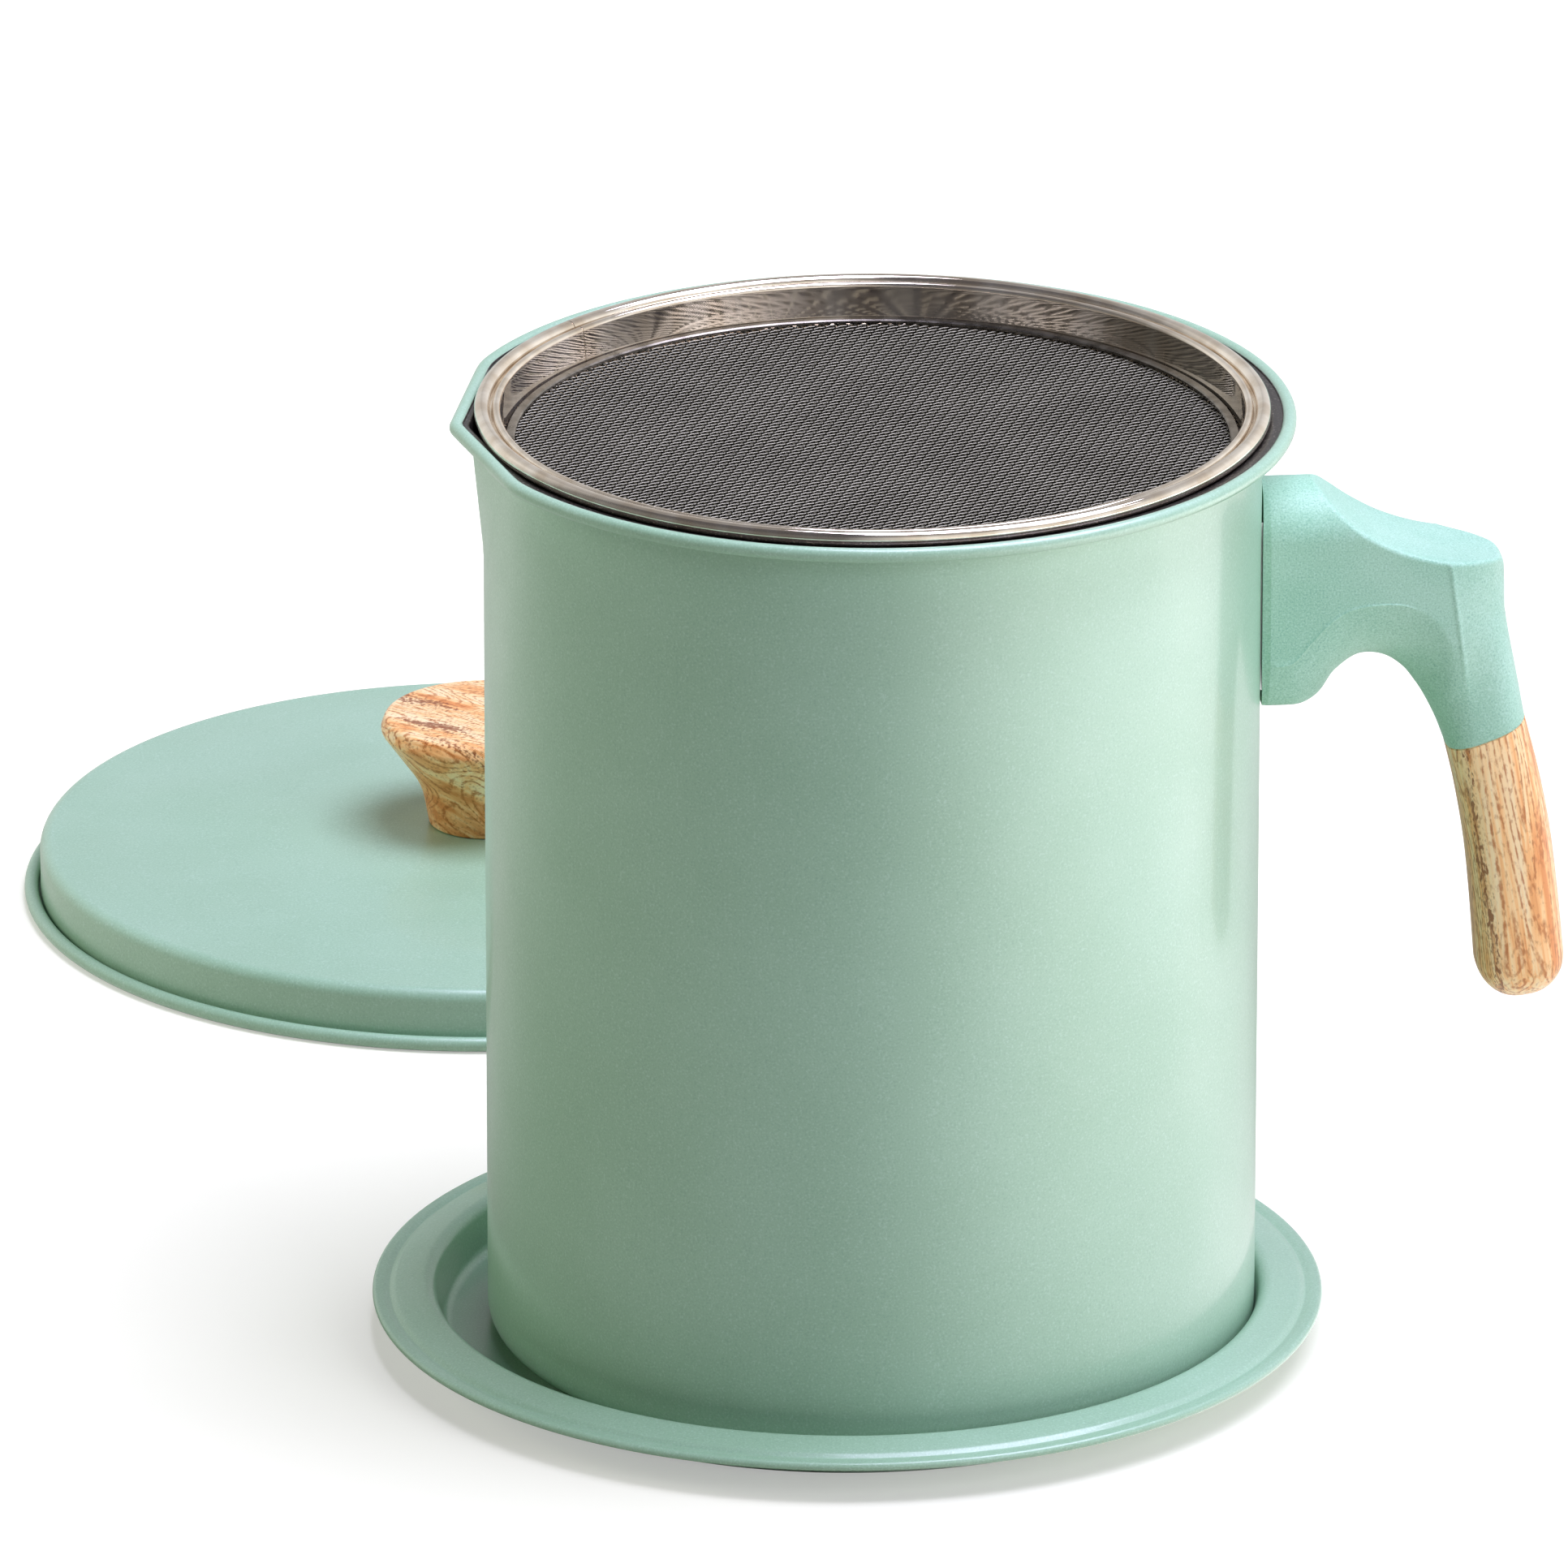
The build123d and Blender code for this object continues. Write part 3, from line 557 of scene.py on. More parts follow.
def skin_rings(rings, rows):
    """Points and faces of a closed skin over rings. Rows of faces join the two sides at its ends."""
    points = [spot for ring in rings for spot in ring]
    size = len(rings[0])
    faces = []
    for k in range(len(rings) - 1):
        for j in range(size):
            low, after = k * size, (j + 1) % size
            faces.append((low + j, low + after, low + size + after, low + size + j))
    for first, way in ((0, 1), (len(points) - size, -1)):
        mirror = 2 * rows + cap_spots - 1
        for j in range(rows - 1):
            faces.append((first + j, first + j + 1, first + mirror - j - 1, first + mirror - j)[::way])
        top = tuple(range(first + rows - 1, first + rows + cap_spots + 1))
        foot = tuple(range(first + mirror, first + size)) + (first,)
        faces += [top, foot]
    return points, faces


arm_rings = []
for k in range(station_rings * (len(arm_stations) - 1) + 1):
    place = k / station_rings
    along = place / (len(arm_stations) - 1)
    under, crease, upper = (through(line, place) for line in side_lines)
    upper.y = min(upper.y, arm_top)
    to_seam = eased((along - seam_blend[0]) / seam_blend[1])
    sharp = crease_slope * (1 - eased((along - crease_blend[0]) / crease_blend[1]))
    to_arch = eased((along - arch_blend[0]) / arch_blend[1])
    cove_floor = root_floor + (arch_floor - root_floor) * to_arch
    bead_share = eased(along / bead_start)
    bead_share *= 1 - eased((along - bead_blend[0]) / bead_blend[1])
    spots = [under.lerp(crease, 1 - cos(pi / 2 * j / cove_spots)) for j in range(cove_spots + 1)]
    top_half = flat_half_width(upper) * (1 - to_seam)
    rounding = min(leaf_round, top_half * 0.8)
    run = (upper - crease).length - rounding
    for j in range(1, flat_spots + 1):
        spots.append(crease.lerp(upper, run * j / flat_spots / (run + rounding)))
    for j in range(1, edge_spots + 1):
        still = rounding * (1 - sin(pi / 2 * j / edge_spots))
        spots.append(upper.lerp(crease, still / (run + rounding)))
    whole = (crease - under).length + (upper - crease).length
    side = []
    for j, spot in enumerate(spots):
        cove = 1.0
        if j < cove_spots:
            share = (spot - under).length / (crease - under).length
            cove = cove_floor + (1 - cove_floor) * round_off(1 - share, sharp)
        width = flat_half_width(spot) * cove
        if j == cove_spots:
            width += crease_bead * bead_share
        to_top = (upper - spot).length
        if to_top < rounding:
            width -= rounding - (rounding**2 - (rounding - to_top) ** 2) ** 0.5
        gone = (spot - under).length if j < cove_spots else whole - to_top
        width += (seam_half * pillow(gone / whole) - width) * to_seam
        out = (root_across**2 - width**2) ** 0.5 if k == 0 else spot.x
        side.append((out, width, spot.y))
    sunk = Vector((crease.y - upper.y, upper.x - crease.x)).normalized() * thumb_dish
    if sunk.y < 0:
        sunk = -sunk
    share = eased(side[-1][1] / arm_half) if upper.x < nose_out - 0.2 * mm else 0.0
    arm_rings.append(ring_of(side, side[-1][1], sunk * share))
seam_ring = arm_rings[-1]
heart = Vector(((seam_in.x + seam_out.x) / 2, 0, (seam_in.y + seam_out.y) / 2))
seam_groove = 0.2 * mm           # how much both ends draw in at the seam


def drawn_in(ring):
    """The seam's ring, a little smaller, for the end of the arm or of the grip."""
    smaller = []
    for spot in ring:
        inward = heart - Vector(spot)
        smaller.append(tuple(Vector(spot) + inward.normalized() * seam_groove))
    return smaller


grip_lean = radians(8.6)
grip_along = Vector((sin(grip_lean), -cos(grip_lean)))
seam_step = 0.25 * mm
step_out, step_down = grip_along * seam_step
arm_rings[-1] = [(x - step_out, y, z - step_down) for x, y, z in seam_ring]
arm_rings.append(drawn_in(seam_ring))


def moulding(name, pale, deep):
    """Green plastic with a very fine pearl fleck and a slight grain."""
    look = Finish(name, metallic=0.0, ior=1.48, specular_ior_level=0.22)
    spot = look.place()
    clouds = look.noise(spot, 60, detail=4)
    tone = look.mix(look.spread(clouds, 0.35, 0.65, 0.0, 1.0), deep, pale)
    grain = look.noise(spot, 3000, detail=2)
    tone = look.mix(look.spread(grain, 0.50, 0.75, 0.0, 0.42), tone, srgb(212, 240, 230))
    tone = look.mix(look.spread(grain, 0.48, 0.25, 0.0, 0.42), tone, srgb(88, 152, 132))
    rough = look.spread(look.noise(spot, 150, detail=3), 0.3, 0.7, 0.33, 0.43)
    skin = look.bump(grain, 0.10, 0.08 * mm)
    return look.finish(base_color=tone, roughness=rough, normal=skin)


mint_moulding = moulding("mint_moulding", srgb(172, 212, 186), srgb(158, 203, 175))
side_rows = cove_spots + 1 + flat_spots + edge_spots
arm_skin = skin_rings(arm_rings, side_rows)
arm = piece("handle_arm_moulding", *arm_skin, [mint_moulding], "pot", "mint_moulding", crease=40)


def block(low, high):
    """Points and faces of a box."""
    ends = list(zip(low, high))
    points = [(x, y, z) for z in ends[2] for y in ends[1] for x in ends[0]]
    faces = [(0, 2, 3, 1), (4, 5, 7, 6), (0, 1, 5, 4), (2, 6, 7, 3), (0, 4, 6, 2), (1, 3, 7, 5)]
    return points, faces


def rod(start, end, radius, sides=40):
    """Points and faces of a round rod between two places in the plane of the handle."""
    run = (Vector(end) - Vector(start)).normalized()
    across = Vector((-run.y, run.x))
    points = []
    for spot in (Vector(start), Vector(end)):
        for k in range(sides):
            turn = 2 * pi * k / sides
            off = spot + across * radius * cos(turn)
            points.append((off.x, radius * sin(turn), off.y))
    faces = [tuple(range(sides)), tuple(range(sides, 2 * sides))]
    faces += [(k, (k + 1) % sides, sides + (k + 1) % sides, sides + k) for k in range(sides)]
    return points, faces


def hollow(thing, *rooms):
    """Cuts closed shapes out of a piece."""
    for points, faces in rooms:
        mesh = bpy.data.meshes.new("room")
        mesh.from_pydata(points, [], faces)
        work = bmesh.new()
        work.from_mesh(mesh)
        bmesh.ops.recalc_face_normals(work, faces=work.faces)
        work.to_mesh(mesh)
        work.free()
        room = bpy.data.objects.new("room", mesh)
        bpy.context.scene.collection.objects.link(room)
        cut = thing.modifiers.new("room", "BOOLEAN")
        cut.operation = "DIFFERENCE"
        cut.solver = "EXACT"
        cut.object = room
        bpy.context.view_layer.update()
        seen = thing.evaluated_get(bpy.context.evaluated_depsgraph_get())
        made = bpy.data.meshes.new_from_object(seen)
        thing.modifiers.clear()
        thing.data = made
        bpy.data.objects.remove(room)


bracket_middle = (bracket_low.z + bracket_high.z) / 2
fit = 0.25 * mm
rooms_in = 60 * mm               # inside the pot's wall
plate_room_out = 71.8 * mm
box_room_half = 6.25 * mm
box_room_rise = 10.25 * mm
screw_across = (screw_low.x + screw_high.x) / 2
root_up = 118.5 * mm
head_bore, screw_bore, stud_bore = 3.85 * mm, 2.25 * mm, 2.53 * mm
stud_depth = 13 * mm
head_depth = 6 * mm
past = 3 * mm                    # how far outside a bore starts
hollow(
    arm,
    block(
        (rooms_in, bracket_low.y - fit, bracket_low.z - fit),
        (plate_room_out, bracket_high.y + fit, bracket_high.z + fit),
    ),
    block(
        (rooms_in, -box_room_half, bracket_middle - box_room_rise),
        (bracket_high.x + fit, box_room_half, bracket_middle + box_room_rise),
    ),
    rod((screw_across, root_up - past), (screw_across, root_up + head_depth), head_bore),
    rod((screw_across, root_up + head_depth - 1 * mm), (screw_across, bracket_middle), screw_bore),
    rod(heart.xz - grip_along * stud_depth, heart.xz + grip_along * past, stud_bore),
)
arm.data.set_sharp_from_angle(angle=radians(40))
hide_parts("handle_arm")

# ---------------------------------------------------------------------------- handle grip
# A plastic grip with a printed wood film under clear varnish, drawn up by a sleeve nut that is
# sunk in its round end.

grip_end_round = 8.1 * mm
grip_end_fullness = 0.92
end_rings = 24
grip_bore, nut_bore = 2.75 * mm, 4.45 * mm
nut_seat = 38.65 * mm            # from the seam down to the step that the nut pulls on
grip_across = Vector((cos(grip_lean), sin(grip_lean)))
grip_end = Vector((118.3 * mm, grip_low.z + grip_end_round))
grip_lines = [
    [seam_in, Vector((106.1, 101.2)) * mm, Vector((108.0, 90.6)) * mm, Vector((109.2, 80.0)) * mm],
    [seam_out, Vector((121.3, 104.0)) * mm, Vector((123.4, 93.6)) * mm, Vector((124.9, 82.6)) * mm],
]
grip_lines[0].append(grip_end - grip_across * grip_end_round)
grip_lines[1].append(grip_end + grip_across * grip_end_round)
grip_sections = 64


def grip_ring(inner, outer, narrow=1.0):
    """Ring of the grip from its inner to its outer line, both in the side view."""
    shares = [(1 - cos(pi * j / (side_rows - 1))) / 2 for j in range(side_rows)]
    places = [inner.lerp(outer, share) for share in shares]
    side = [(spot.x, seam_half * pillow(share) * narrow, spot.y) for spot, share in zip(places, shares)]
    return ring_of(side, 0.0, Vector((0, 0)))


grip_rings = []
for k in range(grip_sections + 1):
    place = k / grip_sections * (len(grip_lines[0]) - 1)
    grip_rings.append(grip_ring(through(grip_lines[0], place), through(grip_lines[1], place)))
for k in range(1, end_rings + 1):
    turn = pi / 2 * k / (end_rings + 0.4)
    centre = grip_end + grip_along * grip_end_round * sin(turn)
    reach = grip_across * grip_end_round * cos(turn)
    grip_rings.append(grip_ring(centre - reach, centre + reach, cos(turn) ** grip_end_fullness))
first = grip_rings[0]
grip_rings[0] = [(x + step_out, y, z + step_down) for x, y, z in first]
grip_rings.insert(0, drawn_in(first))


def wood_print(name, stretch, turn, vein=None):
    """Printed oak: honey ground, fine lines that bend round each other, dashes and dark veins.

    A vein is given by its place across the grain and its half-width.
    """
    look = Finish(name, metallic=0.0, ior=1.5, specular_ior_level=0.25)
    look.settle(coat_weight=0.12, coat_roughness=0.2)
    turned = look.place((1, 1, 1), turn)
    long_way = look.add("Mapping", Vector=turned, Scale=stretch).outputs["Vector"]
    short_stretch = tuple(min(11 * s, 1) for s in stretch)
    short_way = look.add("Mapping", Vector=turned, Scale=short_stretch).outputs["Vector"]
    bands = look.noise(long_way, 230, detail=2, distortion=0.3)
    fibres = look.noise(long_way, 950, detail=3, roughness=0.6, distortion=0.5)
    both = look.sums("ADD", look.sums("MULTIPLY", bands, 0.5), look.sums("MULTIPLY", fibres, 0.5))
    ground = look.ramp(
        both,
        (0.38, srgb(226, 149, 84)),
        (0.46, srgb(250, 191, 124)),
        (0.53, srgb(255, 218, 160)),
        (0.62, srgb(255, 230, 182)),
    )
    dashes = look.noise(short_way, 1500, detail=2)
    swirl = look.noise(long_way, 170, detail=0, distortion=0.4)
    rings = look.sums("SINE", look.sums("MULTIPLY", swirl, 120.0))
    broken = look.spread(dashes, 0.36, 0.54, 0.1, 0.8)
    lines = look.sums("MULTIPLY", look.spread(rings, 0.4, 0.9, 0.0, 1.0), broken)
    tone = look.mix(lines, ground, srgb(186, 110, 52))
    tone = look.mix(look.spread(dashes, 0.54, 0.68, 0.0, 0.5), tone, srgb(176, 104, 54))
    streaks = look.noise(long_way, 120, detail=4, roughness=0.7, distortion=0.4)
    ragged = look.sums("ADD", streaks, look.sums("MULTIPLY", dashes, 0.25))
    dark = look.spread(ragged, 0.725, 0.785, 0.0, 0.85)
    if vein:
        middle, half = vein
        across = look.add("SeparateXYZ", Vector=turned).outputs["X"]
        off = look.sums("ABSOLUTE", look.sums("SUBTRACT", across, middle))
        rag = look.spread(look.sums("ADD", bands, dashes), 0.8, 1.2, -1.2 * half, 1.2 * half)
        off = look.sums("ADD", off, rag)
        dark = look.sums("MAXIMUM", dark, look.spread(off, half, 0.2 * half, 0.0, 0.85))
    tone = look.mix(dark, tone, srgb(136, 70, 36))
    rough = look.spread(fibres, 0.3, 0.7, 0.34, 0.44)
    skin = look.bump(fibres, 0.05, 0.1 * mm)
    return look.finish(base_color=tone, roughness=rough, normal=skin)


grip_vein = (grip_across.dot(Vector((110.1, 90.6))) * mm, 0.8 * mm)
grip_wood = wood_print("grip_wood_print", (1, 1, 0.04), (0, grip_lean, 0), vein=grip_vein)
grip_skin = skin_rings(grip_rings, side_rows)
grip = piece("handle_grip_moulding", *grip_skin, [grip_wood], "pot", "wood_print", crease=40)
nut_end = heart.xz + grip_along * 60 * mm  # below the grip's round end
hollow(
    grip,
    rod(heart.xz - grip_along * past, nut_end, grip_bore),
    rod(heart.xz + grip_along * nut_seat, nut_end, nut_bore),
)
grip.data.set_sharp_from_angle(angle=radians(40))
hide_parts("handle_grip")

# ---------------------------------------------------------------------------- strainer
# A polished steel strip rolled to a ring with a bead and a ridge. The woven mesh lies on its
# flange, and a flat ring is crimped over the mesh's edge.

strainer_low, strainer_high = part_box("strainer_rim")
mesh_low, mesh_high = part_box("strainer_mesh")
strainer_sheet = 0.6 * mm
bead_radius = 1.4 * mm
ridge_radius = 0.8 * mm
bead_across = strainer_high.x - bead_radius
bead_up = strainer_high.z - bead_radius
ridge_across = bead_across - 2.6 * mm
wall_foot_across = bead_across - 3.8 * mm
wall_foot_round = 0.6 * mm
wall_top_up = bead_up - 0.6 * mm
flange_width = 2 * mm
flange_up = strainer_low.z + strainer_sheet / 2
mesh_up = (mesh_low.z + mesh_high.z) / 2
mesh_radius = mesh_high.x
strip_joint = radians(136)       # where the strip's ends meet
strip_joint_half = 0.12 / 70     # half of the joint's width, as a turn

groove_across = (bead_across + ridge_across - (bead_radius - ridge_radius)) / 2
groove_radius = groove_across - ridge_across - (ridge_radius - strainer_sheet / 2)
groove_up = bead_up - 0.35 * mm
strainer_line = (
    rounded(
        [
            (wall_foot_across - flange_width, flange_up),
            (wall_foot_across, flange_up, wall_foot_round),
            (ridge_across - ridge_radius + strainer_sheet / 2, wall_top_up),
        ]
    )
    + arc((ridge_across, bead_up), ridge_radius - strainer_sheet / 2, 180, 0)
    + arc((groove_across, groove_up), groove_radius, 180, 360)
    + arc((bead_across, bead_up), bead_radius - strainer_sheet / 2, 180, -150)
)
strainer_section = sheet_section(strainer_line, strainer_sheet)
joint_section = sheet_section(strainer_line, strainer_sheet * 0.4)  # thin, so it shows as a line
strainer_turns = [strip_joint - strip_joint_half, strip_joint, strip_joint + strip_joint_half]
strainer_turns += [strip_joint + radians(1.5) * k for k in range(1, 240)]
strainer_sections = [strainer_section, joint_section]
strainer_sections += [strainer_section] * (len(strainer_turns) - 2)


def polished(name, pale, deep, rough_low, rough_high, scale, stretch=(1, 1, 1)):
    """Bright steel with cloudy or stretched marks of handling and rolling."""
    look = Finish(name, metallic=0.92)
    marks = look.noise(look.place(stretch), scale, detail=3)
    tone = look.mix(look.spread(marks, 0.35, 0.65, 0.0, 1.0), deep, pale)
    return look.finish(
        base_color=tone,
        roughness=look.spread(marks, 0.3, 0.7, rough_low, rough_high),
        normal=look.bump(marks, 0.02, 0.05 * mm),
    )


pale_steel, deep_steel = srgb(248, 238, 222), srgb(222, 206, 184)
strainer_steel = polished("strainer_steel", pale_steel, deep_steel, 0.02, 0.06, 160, (1, 1, 0.1))
strainer_skin = spin(strainer_sections, strainer_turns, pot_middle)
strainer = piece("strainer_ring", *strainer_skin, [strainer_steel], "strainer", "strainer_steel")
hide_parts("strainer_rim")

mesh_pitch = 1.3 * mm
mesh_turn = Matrix.Rotation(radians(25), 2)
wire = 0.19 * mm                 # radius
wave = (mesh_high.z - mesh_low.z) / 2 - wire  # how far a wire bends up and down
wire_sides = 3


def woven(radius, pitch):
    """Points and faces of wires that cross each other over and under, in a round patch."""
    points, faces = [], []
    half = int(radius / pitch)
    for way in (0, 1):
        for row in range(-half, half + 1):
            side = row * pitch
            reach = int(sqrt(max(radius**2 - side**2, 0)) / pitch)
            if reach < 2:
                continue
            first = len(points)
            for k in range(-reach, reach + 1):
                lift = wave if (k + row + way) % 2 else -wave
                for j in range(wire_sides):
                    turn = 2 * pi * j / wire_sides + pi / 2
                    off, up = wire * cos(turn), wire * sin(turn)
                    spot = (k * pitch, side + off) if way == 0 else (side + off, k * pitch)
                    points.append((*(mesh_turn @ Vector(spot)), mesh_up + lift + up))
            for k in range(2 * reach):
                for j in range(wire_sides):
                    low, after = first + k * wire_sides, (j + 1) % wire_sides
                    faces.append((low + j, low + after, low + wire_sides + after, low + wire_sides + j))
            last = first + 2 * reach * wire_sides
            faces.append(tuple(range(first, first + wire_sides)))
            faces.append(tuple(range(last, last + wire_sides)))
    return points, faces


mesh_steel = polished("mesh_steel", srgb(129, 126, 113), srgb(121, 118, 106), 0.24, 0.32, 60)
weave = woven(mesh_radius, mesh_pitch)
screen = piece("strainer_screen", *weave, [mesh_steel], "strainer", "mesh_steel", crease=180)
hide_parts("strainer_mesh")
clamp_steel = polished("clamp_steel", srgb(150, 144, 134), srgb(104, 98, 90), 0.22, 0.34, 300)
dress(clamp_steel, "mesh_clamp_ring")

# ---------------------------------------------------------------------------- lid
# One pressed sheet: a gently domed plate, a rounded edge, a skirt and a curled foot. It wears
# the pot's enamel.

lid_low, lid_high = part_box("lid_shell")
lid_middle = (lid_low + lid_high) / 2
lid_sheet = 0.8 * mm
lid_curl = 1.4 * mm
lid_foot_width = 3.1 * mm        # from the skirt to the curl's outer edge
lid_curl_across = (lid_high.x - lid_low.x) / 2 - lid_curl
lid_wall = lid_curl_across + lid_curl - lid_foot_width - lid_sheet / 2
lid_shoulder_up = 11.4 * mm - lid_sheet / 2
lid_shoulder_round = 2.0 * mm
lid_dome = 2.5 * mm
lid_flat = lid_wall - 3.1 * mm   # where the dome ends
lid_hole = 2.25 * mm

lid_groove = (lid_curl_across - lid_curl + lid_sheet / 2 - lid_wall) / 2
lid_line = [
    Vector((across, lid_shoulder_up + lid_dome * (1 - (across / lid_flat) ** 2)))
    for across in [lid_hole + (lid_flat - lid_hole) * k / 24 for k in range(25)]
]
lid_shoulder = (lid_wall, lid_shoulder_up, lid_shoulder_round)
lid_line += rounded([lid_line[-1], lid_shoulder, (lid_wall, 3 * mm)])[1:]
lid_groove_up = lid_low.z + lid_groove + lid_sheet / 2 + 0.1 * mm
lid_line += arc((lid_wall + lid_groove, lid_groove_up), lid_groove, 180, 360)
lid_line += arc((lid_curl_across, lid_low.z + lid_curl), lid_curl - lid_sheet / 2, 180, -140)
lid_section = sheet_section(lid_line, lid_sheet)
lid = round_piece("lid", lid_section, lid_middle, mint_enamel, "lid", "mint_enamel")
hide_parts("lid_shell")

# ---------------------------------------------------------------------------- lid knob
# A turned shape moulded in plastic under the same wood film, with a brass insert in its foot and
# a screw and washer from below.

knob_low, knob_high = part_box("lid_knob")
knob_middle = (knob_low + knob_high) / 2
knob_radius = (knob_high.x - knob_low.x) / 2
knob_foot = 11.0 * mm
knob_neck = 12.5 * mm
knob_up = knob_low.z
knob_bore = 3.45 * mm
knob_bore_up = knob_up + 11 * mm
knob_line = rounded(
    [
        (knob_bore, knob_bore_up),
        (knob_bore, knob_up),
        (knob_foot, knob_up, 0.5 * mm),
        (knob_neck, knob_up + 8.2 * mm, 14 * mm),
        (knob_radius + 0.2 * mm, knob_up + 19.2 * mm, 1.6 * mm),
        (knob_radius - 0.9 * mm, knob_up + 22.0 * mm, 1.4 * mm),
        (0, knob_high.z),
    ],
    step=radians(6),
)
knob_line += [Vector((0, knob_bore_up))]

# the film was laid on from the front and above, with its grain running down to the right
film_from = Vector((0, -0.64, 0.77))
grain_along = Vector((0.82, -0.44, -0.37))
grain_frame = Matrix((grain_along.cross(film_from), grain_along, film_from)).to_euler("XYZ")
knob_wood = wood_print("knob_wood_print", (1, 0.08, 0.35), grain_frame)
knob = round_piece("knob", knob_line, knob_middle, knob_wood, "lid", "wood_print")
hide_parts("lid_knob")

brass = Finish("insert_brass", metallic=1.0)
brass_marks = brass.noise(brass.place(), 600, detail=3)
insert_brass = brass.finish(
    base_color=brass.mix(brass_marks, srgb(196, 160, 92), srgb(222, 190, 124)),
    roughness=brass.spread(brass.noise(brass.place(), 900), 0.3, 0.7, 0.26, 0.4),
)
dress(insert_brass, "knob_insert")
dress(fastener_steel, "knob_screw", "knob_washer")

# ---------------------------------------------------------------------------- studio
# A white floor and a white world under four soft lamps: a key lamp at the front right, a weaker one
# high on the right, a wide one above, and one behind on the left. Only the last is warm. The steel
# and the enamel mirror a studio that is dim on the left and bright on the right.

floor_half = 12.0
floor_up = -0.1 * mm
floor_corners = [
    (x * floor_half, y * floor_half, floor_up) for x, y in ((-1, -1), (1, -1), (1, 1), (-1, 1))
]
floor_mesh = bpy.data.meshes.new("studio_floor")
floor_mesh.from_pydata(floor_corners, [], [(0, 1, 2, 3)])
floor = bpy.data.objects.new("studio_floor", floor_mesh)
bpy.context.scene.collection.objects.link(floor)

# turn in degrees from the front towards the right, and brightness
studio_levels = [(-180, 0.6), (-135, 0.9), (-105, 0.2), (-14, 0.12), (2, 0.7), (16, 1.8), (32, 3.3)]
studio_levels += [(48, 4.5), (90, 4.5), (112, 2.6), (135, 1.0), (160, 0.7), (179, 0.5)]
studio_most = 4.5


def surroundings(look, way):
    """How bright the studio looks in reflections, by direction."""
    ways = look.add("SeparateXYZ", Vector=way).outputs
    turn = look.sums("ARCTAN2", ways["X"], look.sums("MULTIPLY", ways["Y"], -1.0))
    stops = [(angle / 360 + 0.5, (bright / studio_most,) * 3) for angle, bright in studio_levels]
    level = look.ramp(look.spread(turn, -pi, pi, 0.0, 1.0), *stops)
    return look.sums("MULTIPLY", level, studio_most)


# the floor grows whiter away from the object, for the eye and in reflections
ground = Finish("studio_floor", roughness=0.9, specular_ior_level=0.0)
ground_rays = ground.add("LightPath").outputs
ground_gloss = ground.sums("MAXIMUM", ground_rays["Is Glossy Ray"], ground_rays["Is Transmission Ray"])
ground_spot = ground.add("TexCoord").outputs["Object"]
ground_far = ground.add("VectorMath", {"operation": "LENGTH"}, Vector=ground_spot).outputs["Value"]
ground_seen = ground.spread(ground_far, 0.2, 1.2, 0.40, 1.1)
ground_seen = ground.sums("MULTIPLY", ground_rays["Is Camera Ray"], ground_seen)
ground_share = ground.spread(ground_far, 0.10, 0.42, 0.45, 1.05)
ground_mirrored = ground.sums("MULTIPLY", surroundings(ground, ground_spot), ground_share)
ground_mirrored = ground.sums("MULTIPLY", ground_gloss, ground_mirrored)
ground_glow = ground.sums("ADD", ground_seen, ground_mirrored)
ground_tone = ground.mix(ground_gloss, (0.66, 0.65, 0.53, 1), (0, 0, 0, 1))
floor_mesh.materials.append(
    ground.finish(base_color=ground_tone, emission_color=(1, 1, 1, 1), emission_strength=ground_glow)
)


class Sky(Finish):
    """The world's shader, with the same short ways."""

    def __init__(self, name):
        self.material = bpy.data.worlds.new(name)
        self.material.use_nodes = True
        self.tree = self.material.node_tree
        self.sockets = {s.name.lower(): s for s in self.tree.nodes["Background"].inputs}


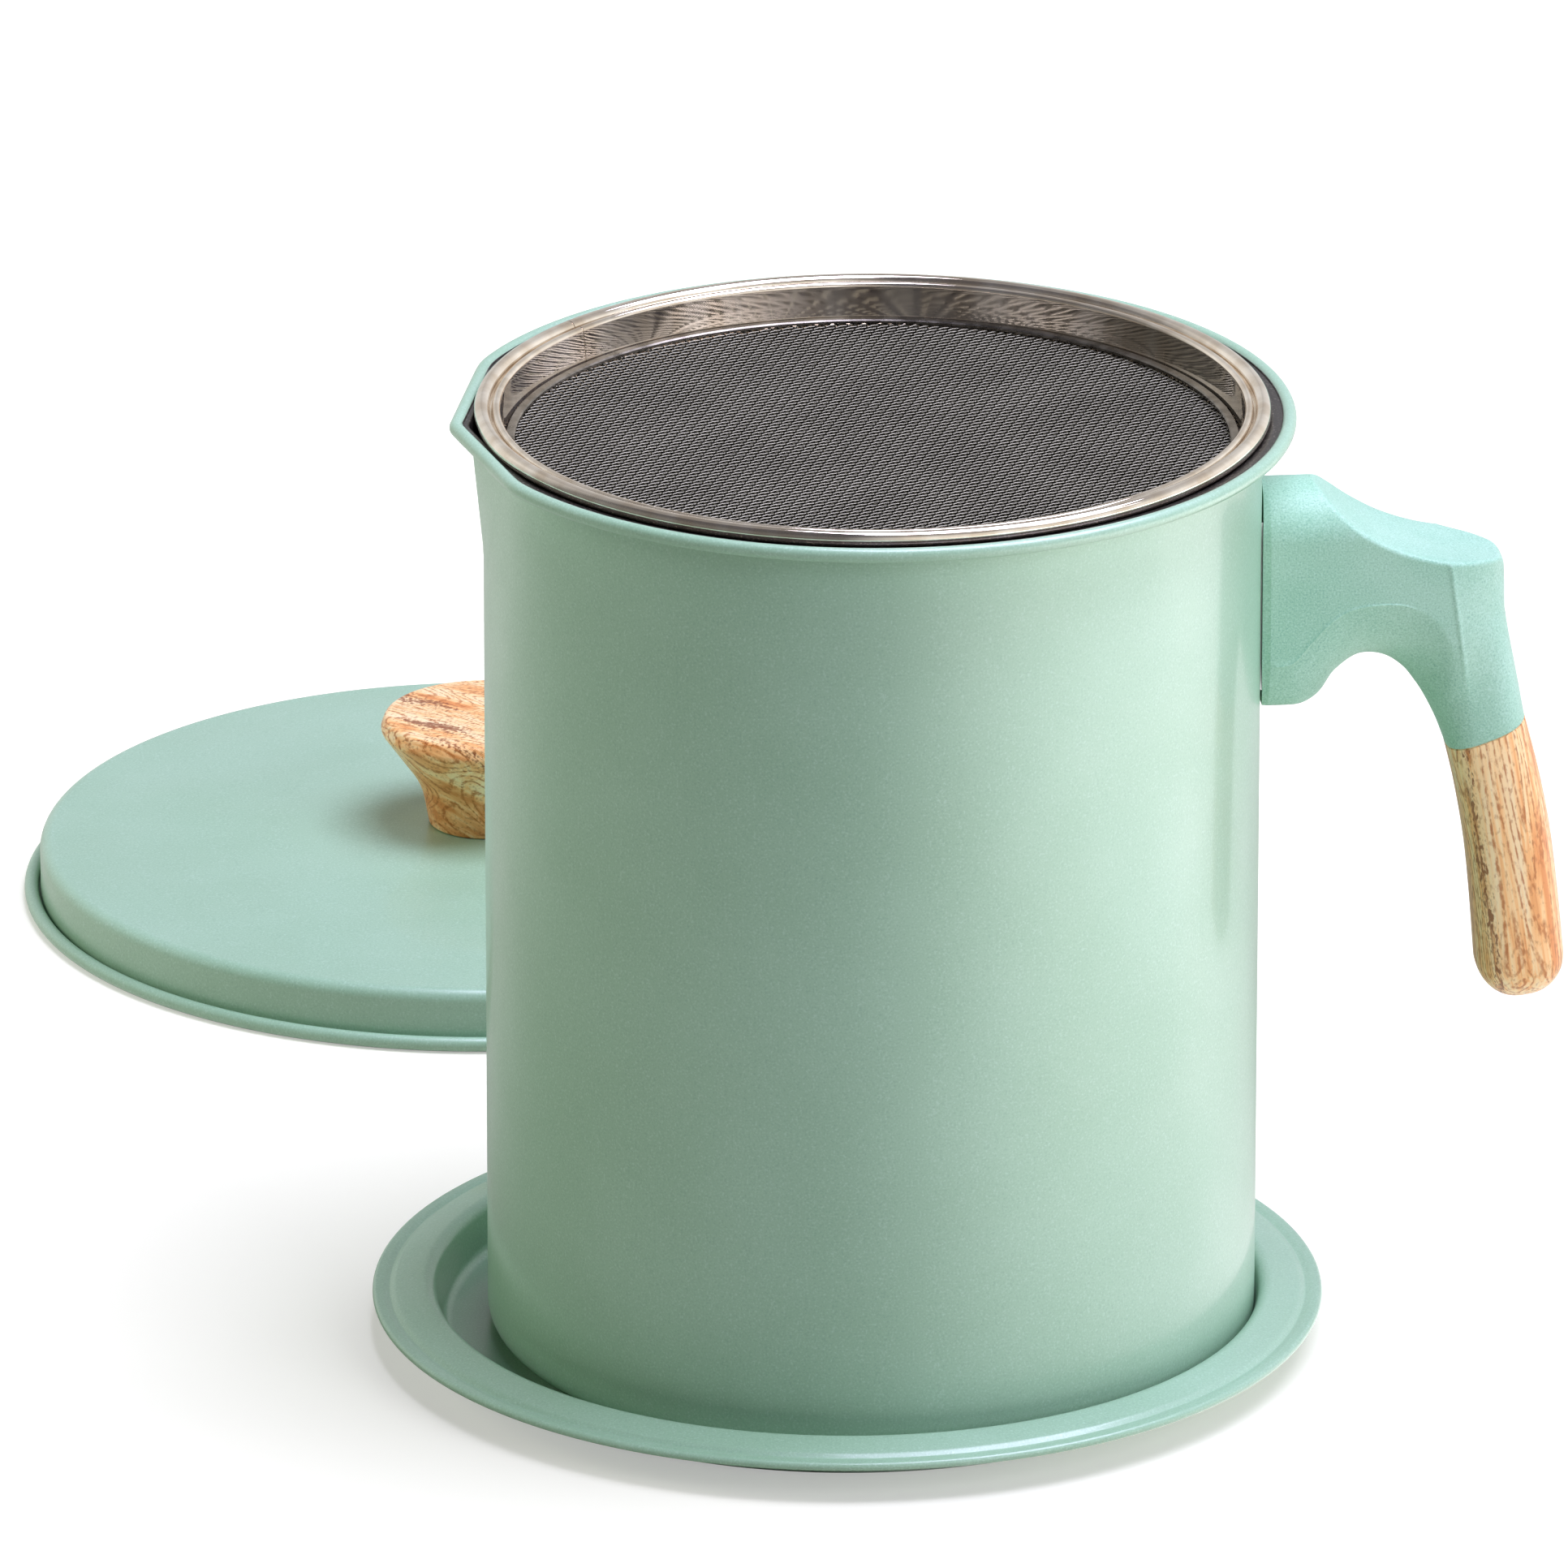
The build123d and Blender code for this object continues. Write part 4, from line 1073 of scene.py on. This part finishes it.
# what steel shows of the ceiling is darker than the walls
sky = Sky("studio")
sky_rays = sky.add("LightPath").outputs
sky_way = sky.add("TexCoord").outputs["Generated"]
sky_rise = sky.add("SeparateXYZ", Vector=sky_way).outputs["Z"]
sky_walls = sky.sums("MINIMUM", surroundings(sky, sky_way), 1.0)
sky_gloss = sky.sums("MULTIPLY", sky_walls, sky.spread(sky_rise, 0.40, 0.80, 1.0, 0.3))
sky_gloss = sky.sums("MULTIPLY", sky_gloss, sky_rays["Is Glossy Ray"])
sky_seen = sky.sums("MAXIMUM", sky_rays["Is Camera Ray"], sky_rays["Is Transmission Ray"])
sky_level = sky.sums("MAXIMUM", sky.sums("MAXIMUM", sky_seen, sky_gloss), 0.02)
bpy.context.scene.world = sky.finish(color=(1, 1, 1, 1), strength=sky_level)


studio_middle = Vector((0.0, 0.03, 0.09))  # what the lamps aim at


def lamp(name, place, size, watts, colour, glossy=True):
    """Soft square lamp that the camera doesn't see, aimed at the object."""
    light = bpy.data.lights.new(name, "AREA")
    light.shape = "RECTANGLE"
    light.size = light.size_y = size
    light.energy = watts
    light.color = colour
    thing = bpy.data.objects.new(name, light)
    thing.location = place
    thing.rotation_mode = "QUATERNION"
    thing.rotation_quaternion = (studio_middle - Vector(place)).to_track_quat("-Z", "Y")
    thing.visible_camera = False
    thing.visible_glossy = glossy
    bpy.context.scene.collection.objects.link(thing)


lamp("key_lamp", (1.041, -1.241, 0.851), 1.0, 12.5, (1.0, 1.0, 1.25), glossy=False)
lamp("high_lamp", (0.896, -0.296, 1.616), 1.0, 5, (1.0, 1.0, 1.22))
lamp("top_lamp", (0.45, 0.1, 1.75), 1.2, 34, (1.0, 1.0, 1.34))
lamp("rear_lamp", (-1.62, 0.40, 0.70), 1.0, 12, (1.0, 1.0, 0.92), glossy=False)

# The camera stands a little left of square to the handle, with a long lens.
camera_turn = radians(-5.5)
camera_rise = radians(20.41)
camera_far = 3.330
pot_heart = Vector((0, 0, 85 * mm))
aim_left, aim_above = 15.91 * mm, 18.31 * mm
level_share = cos(camera_rise)
back = Vector((sin(camera_turn) * level_share, -cos(camera_turn) * level_share, sin(camera_rise)))
right = Vector((cos(camera_turn), sin(camera_turn), 0))
up = back.cross(right)
aim = pot_heart - right * aim_left + up * aim_above
camera = bpy.data.cameras.new("camera")
camera.sensor_width = 36
camera.lens = 421.9
camera.clip_end = 60
viewer = bpy.data.objects.new("camera", camera)
viewer.location = aim + back * camera_far
viewer.rotation_mode = "QUATERNION"
viewer.rotation_quaternion = (-back).to_track_quat("-Z", "Y")
bpy.context.scene.collection.objects.link(viewer)
bpy.context.scene.camera = viewer
bpy.context.scene.view_settings.view_transform = "Standard"
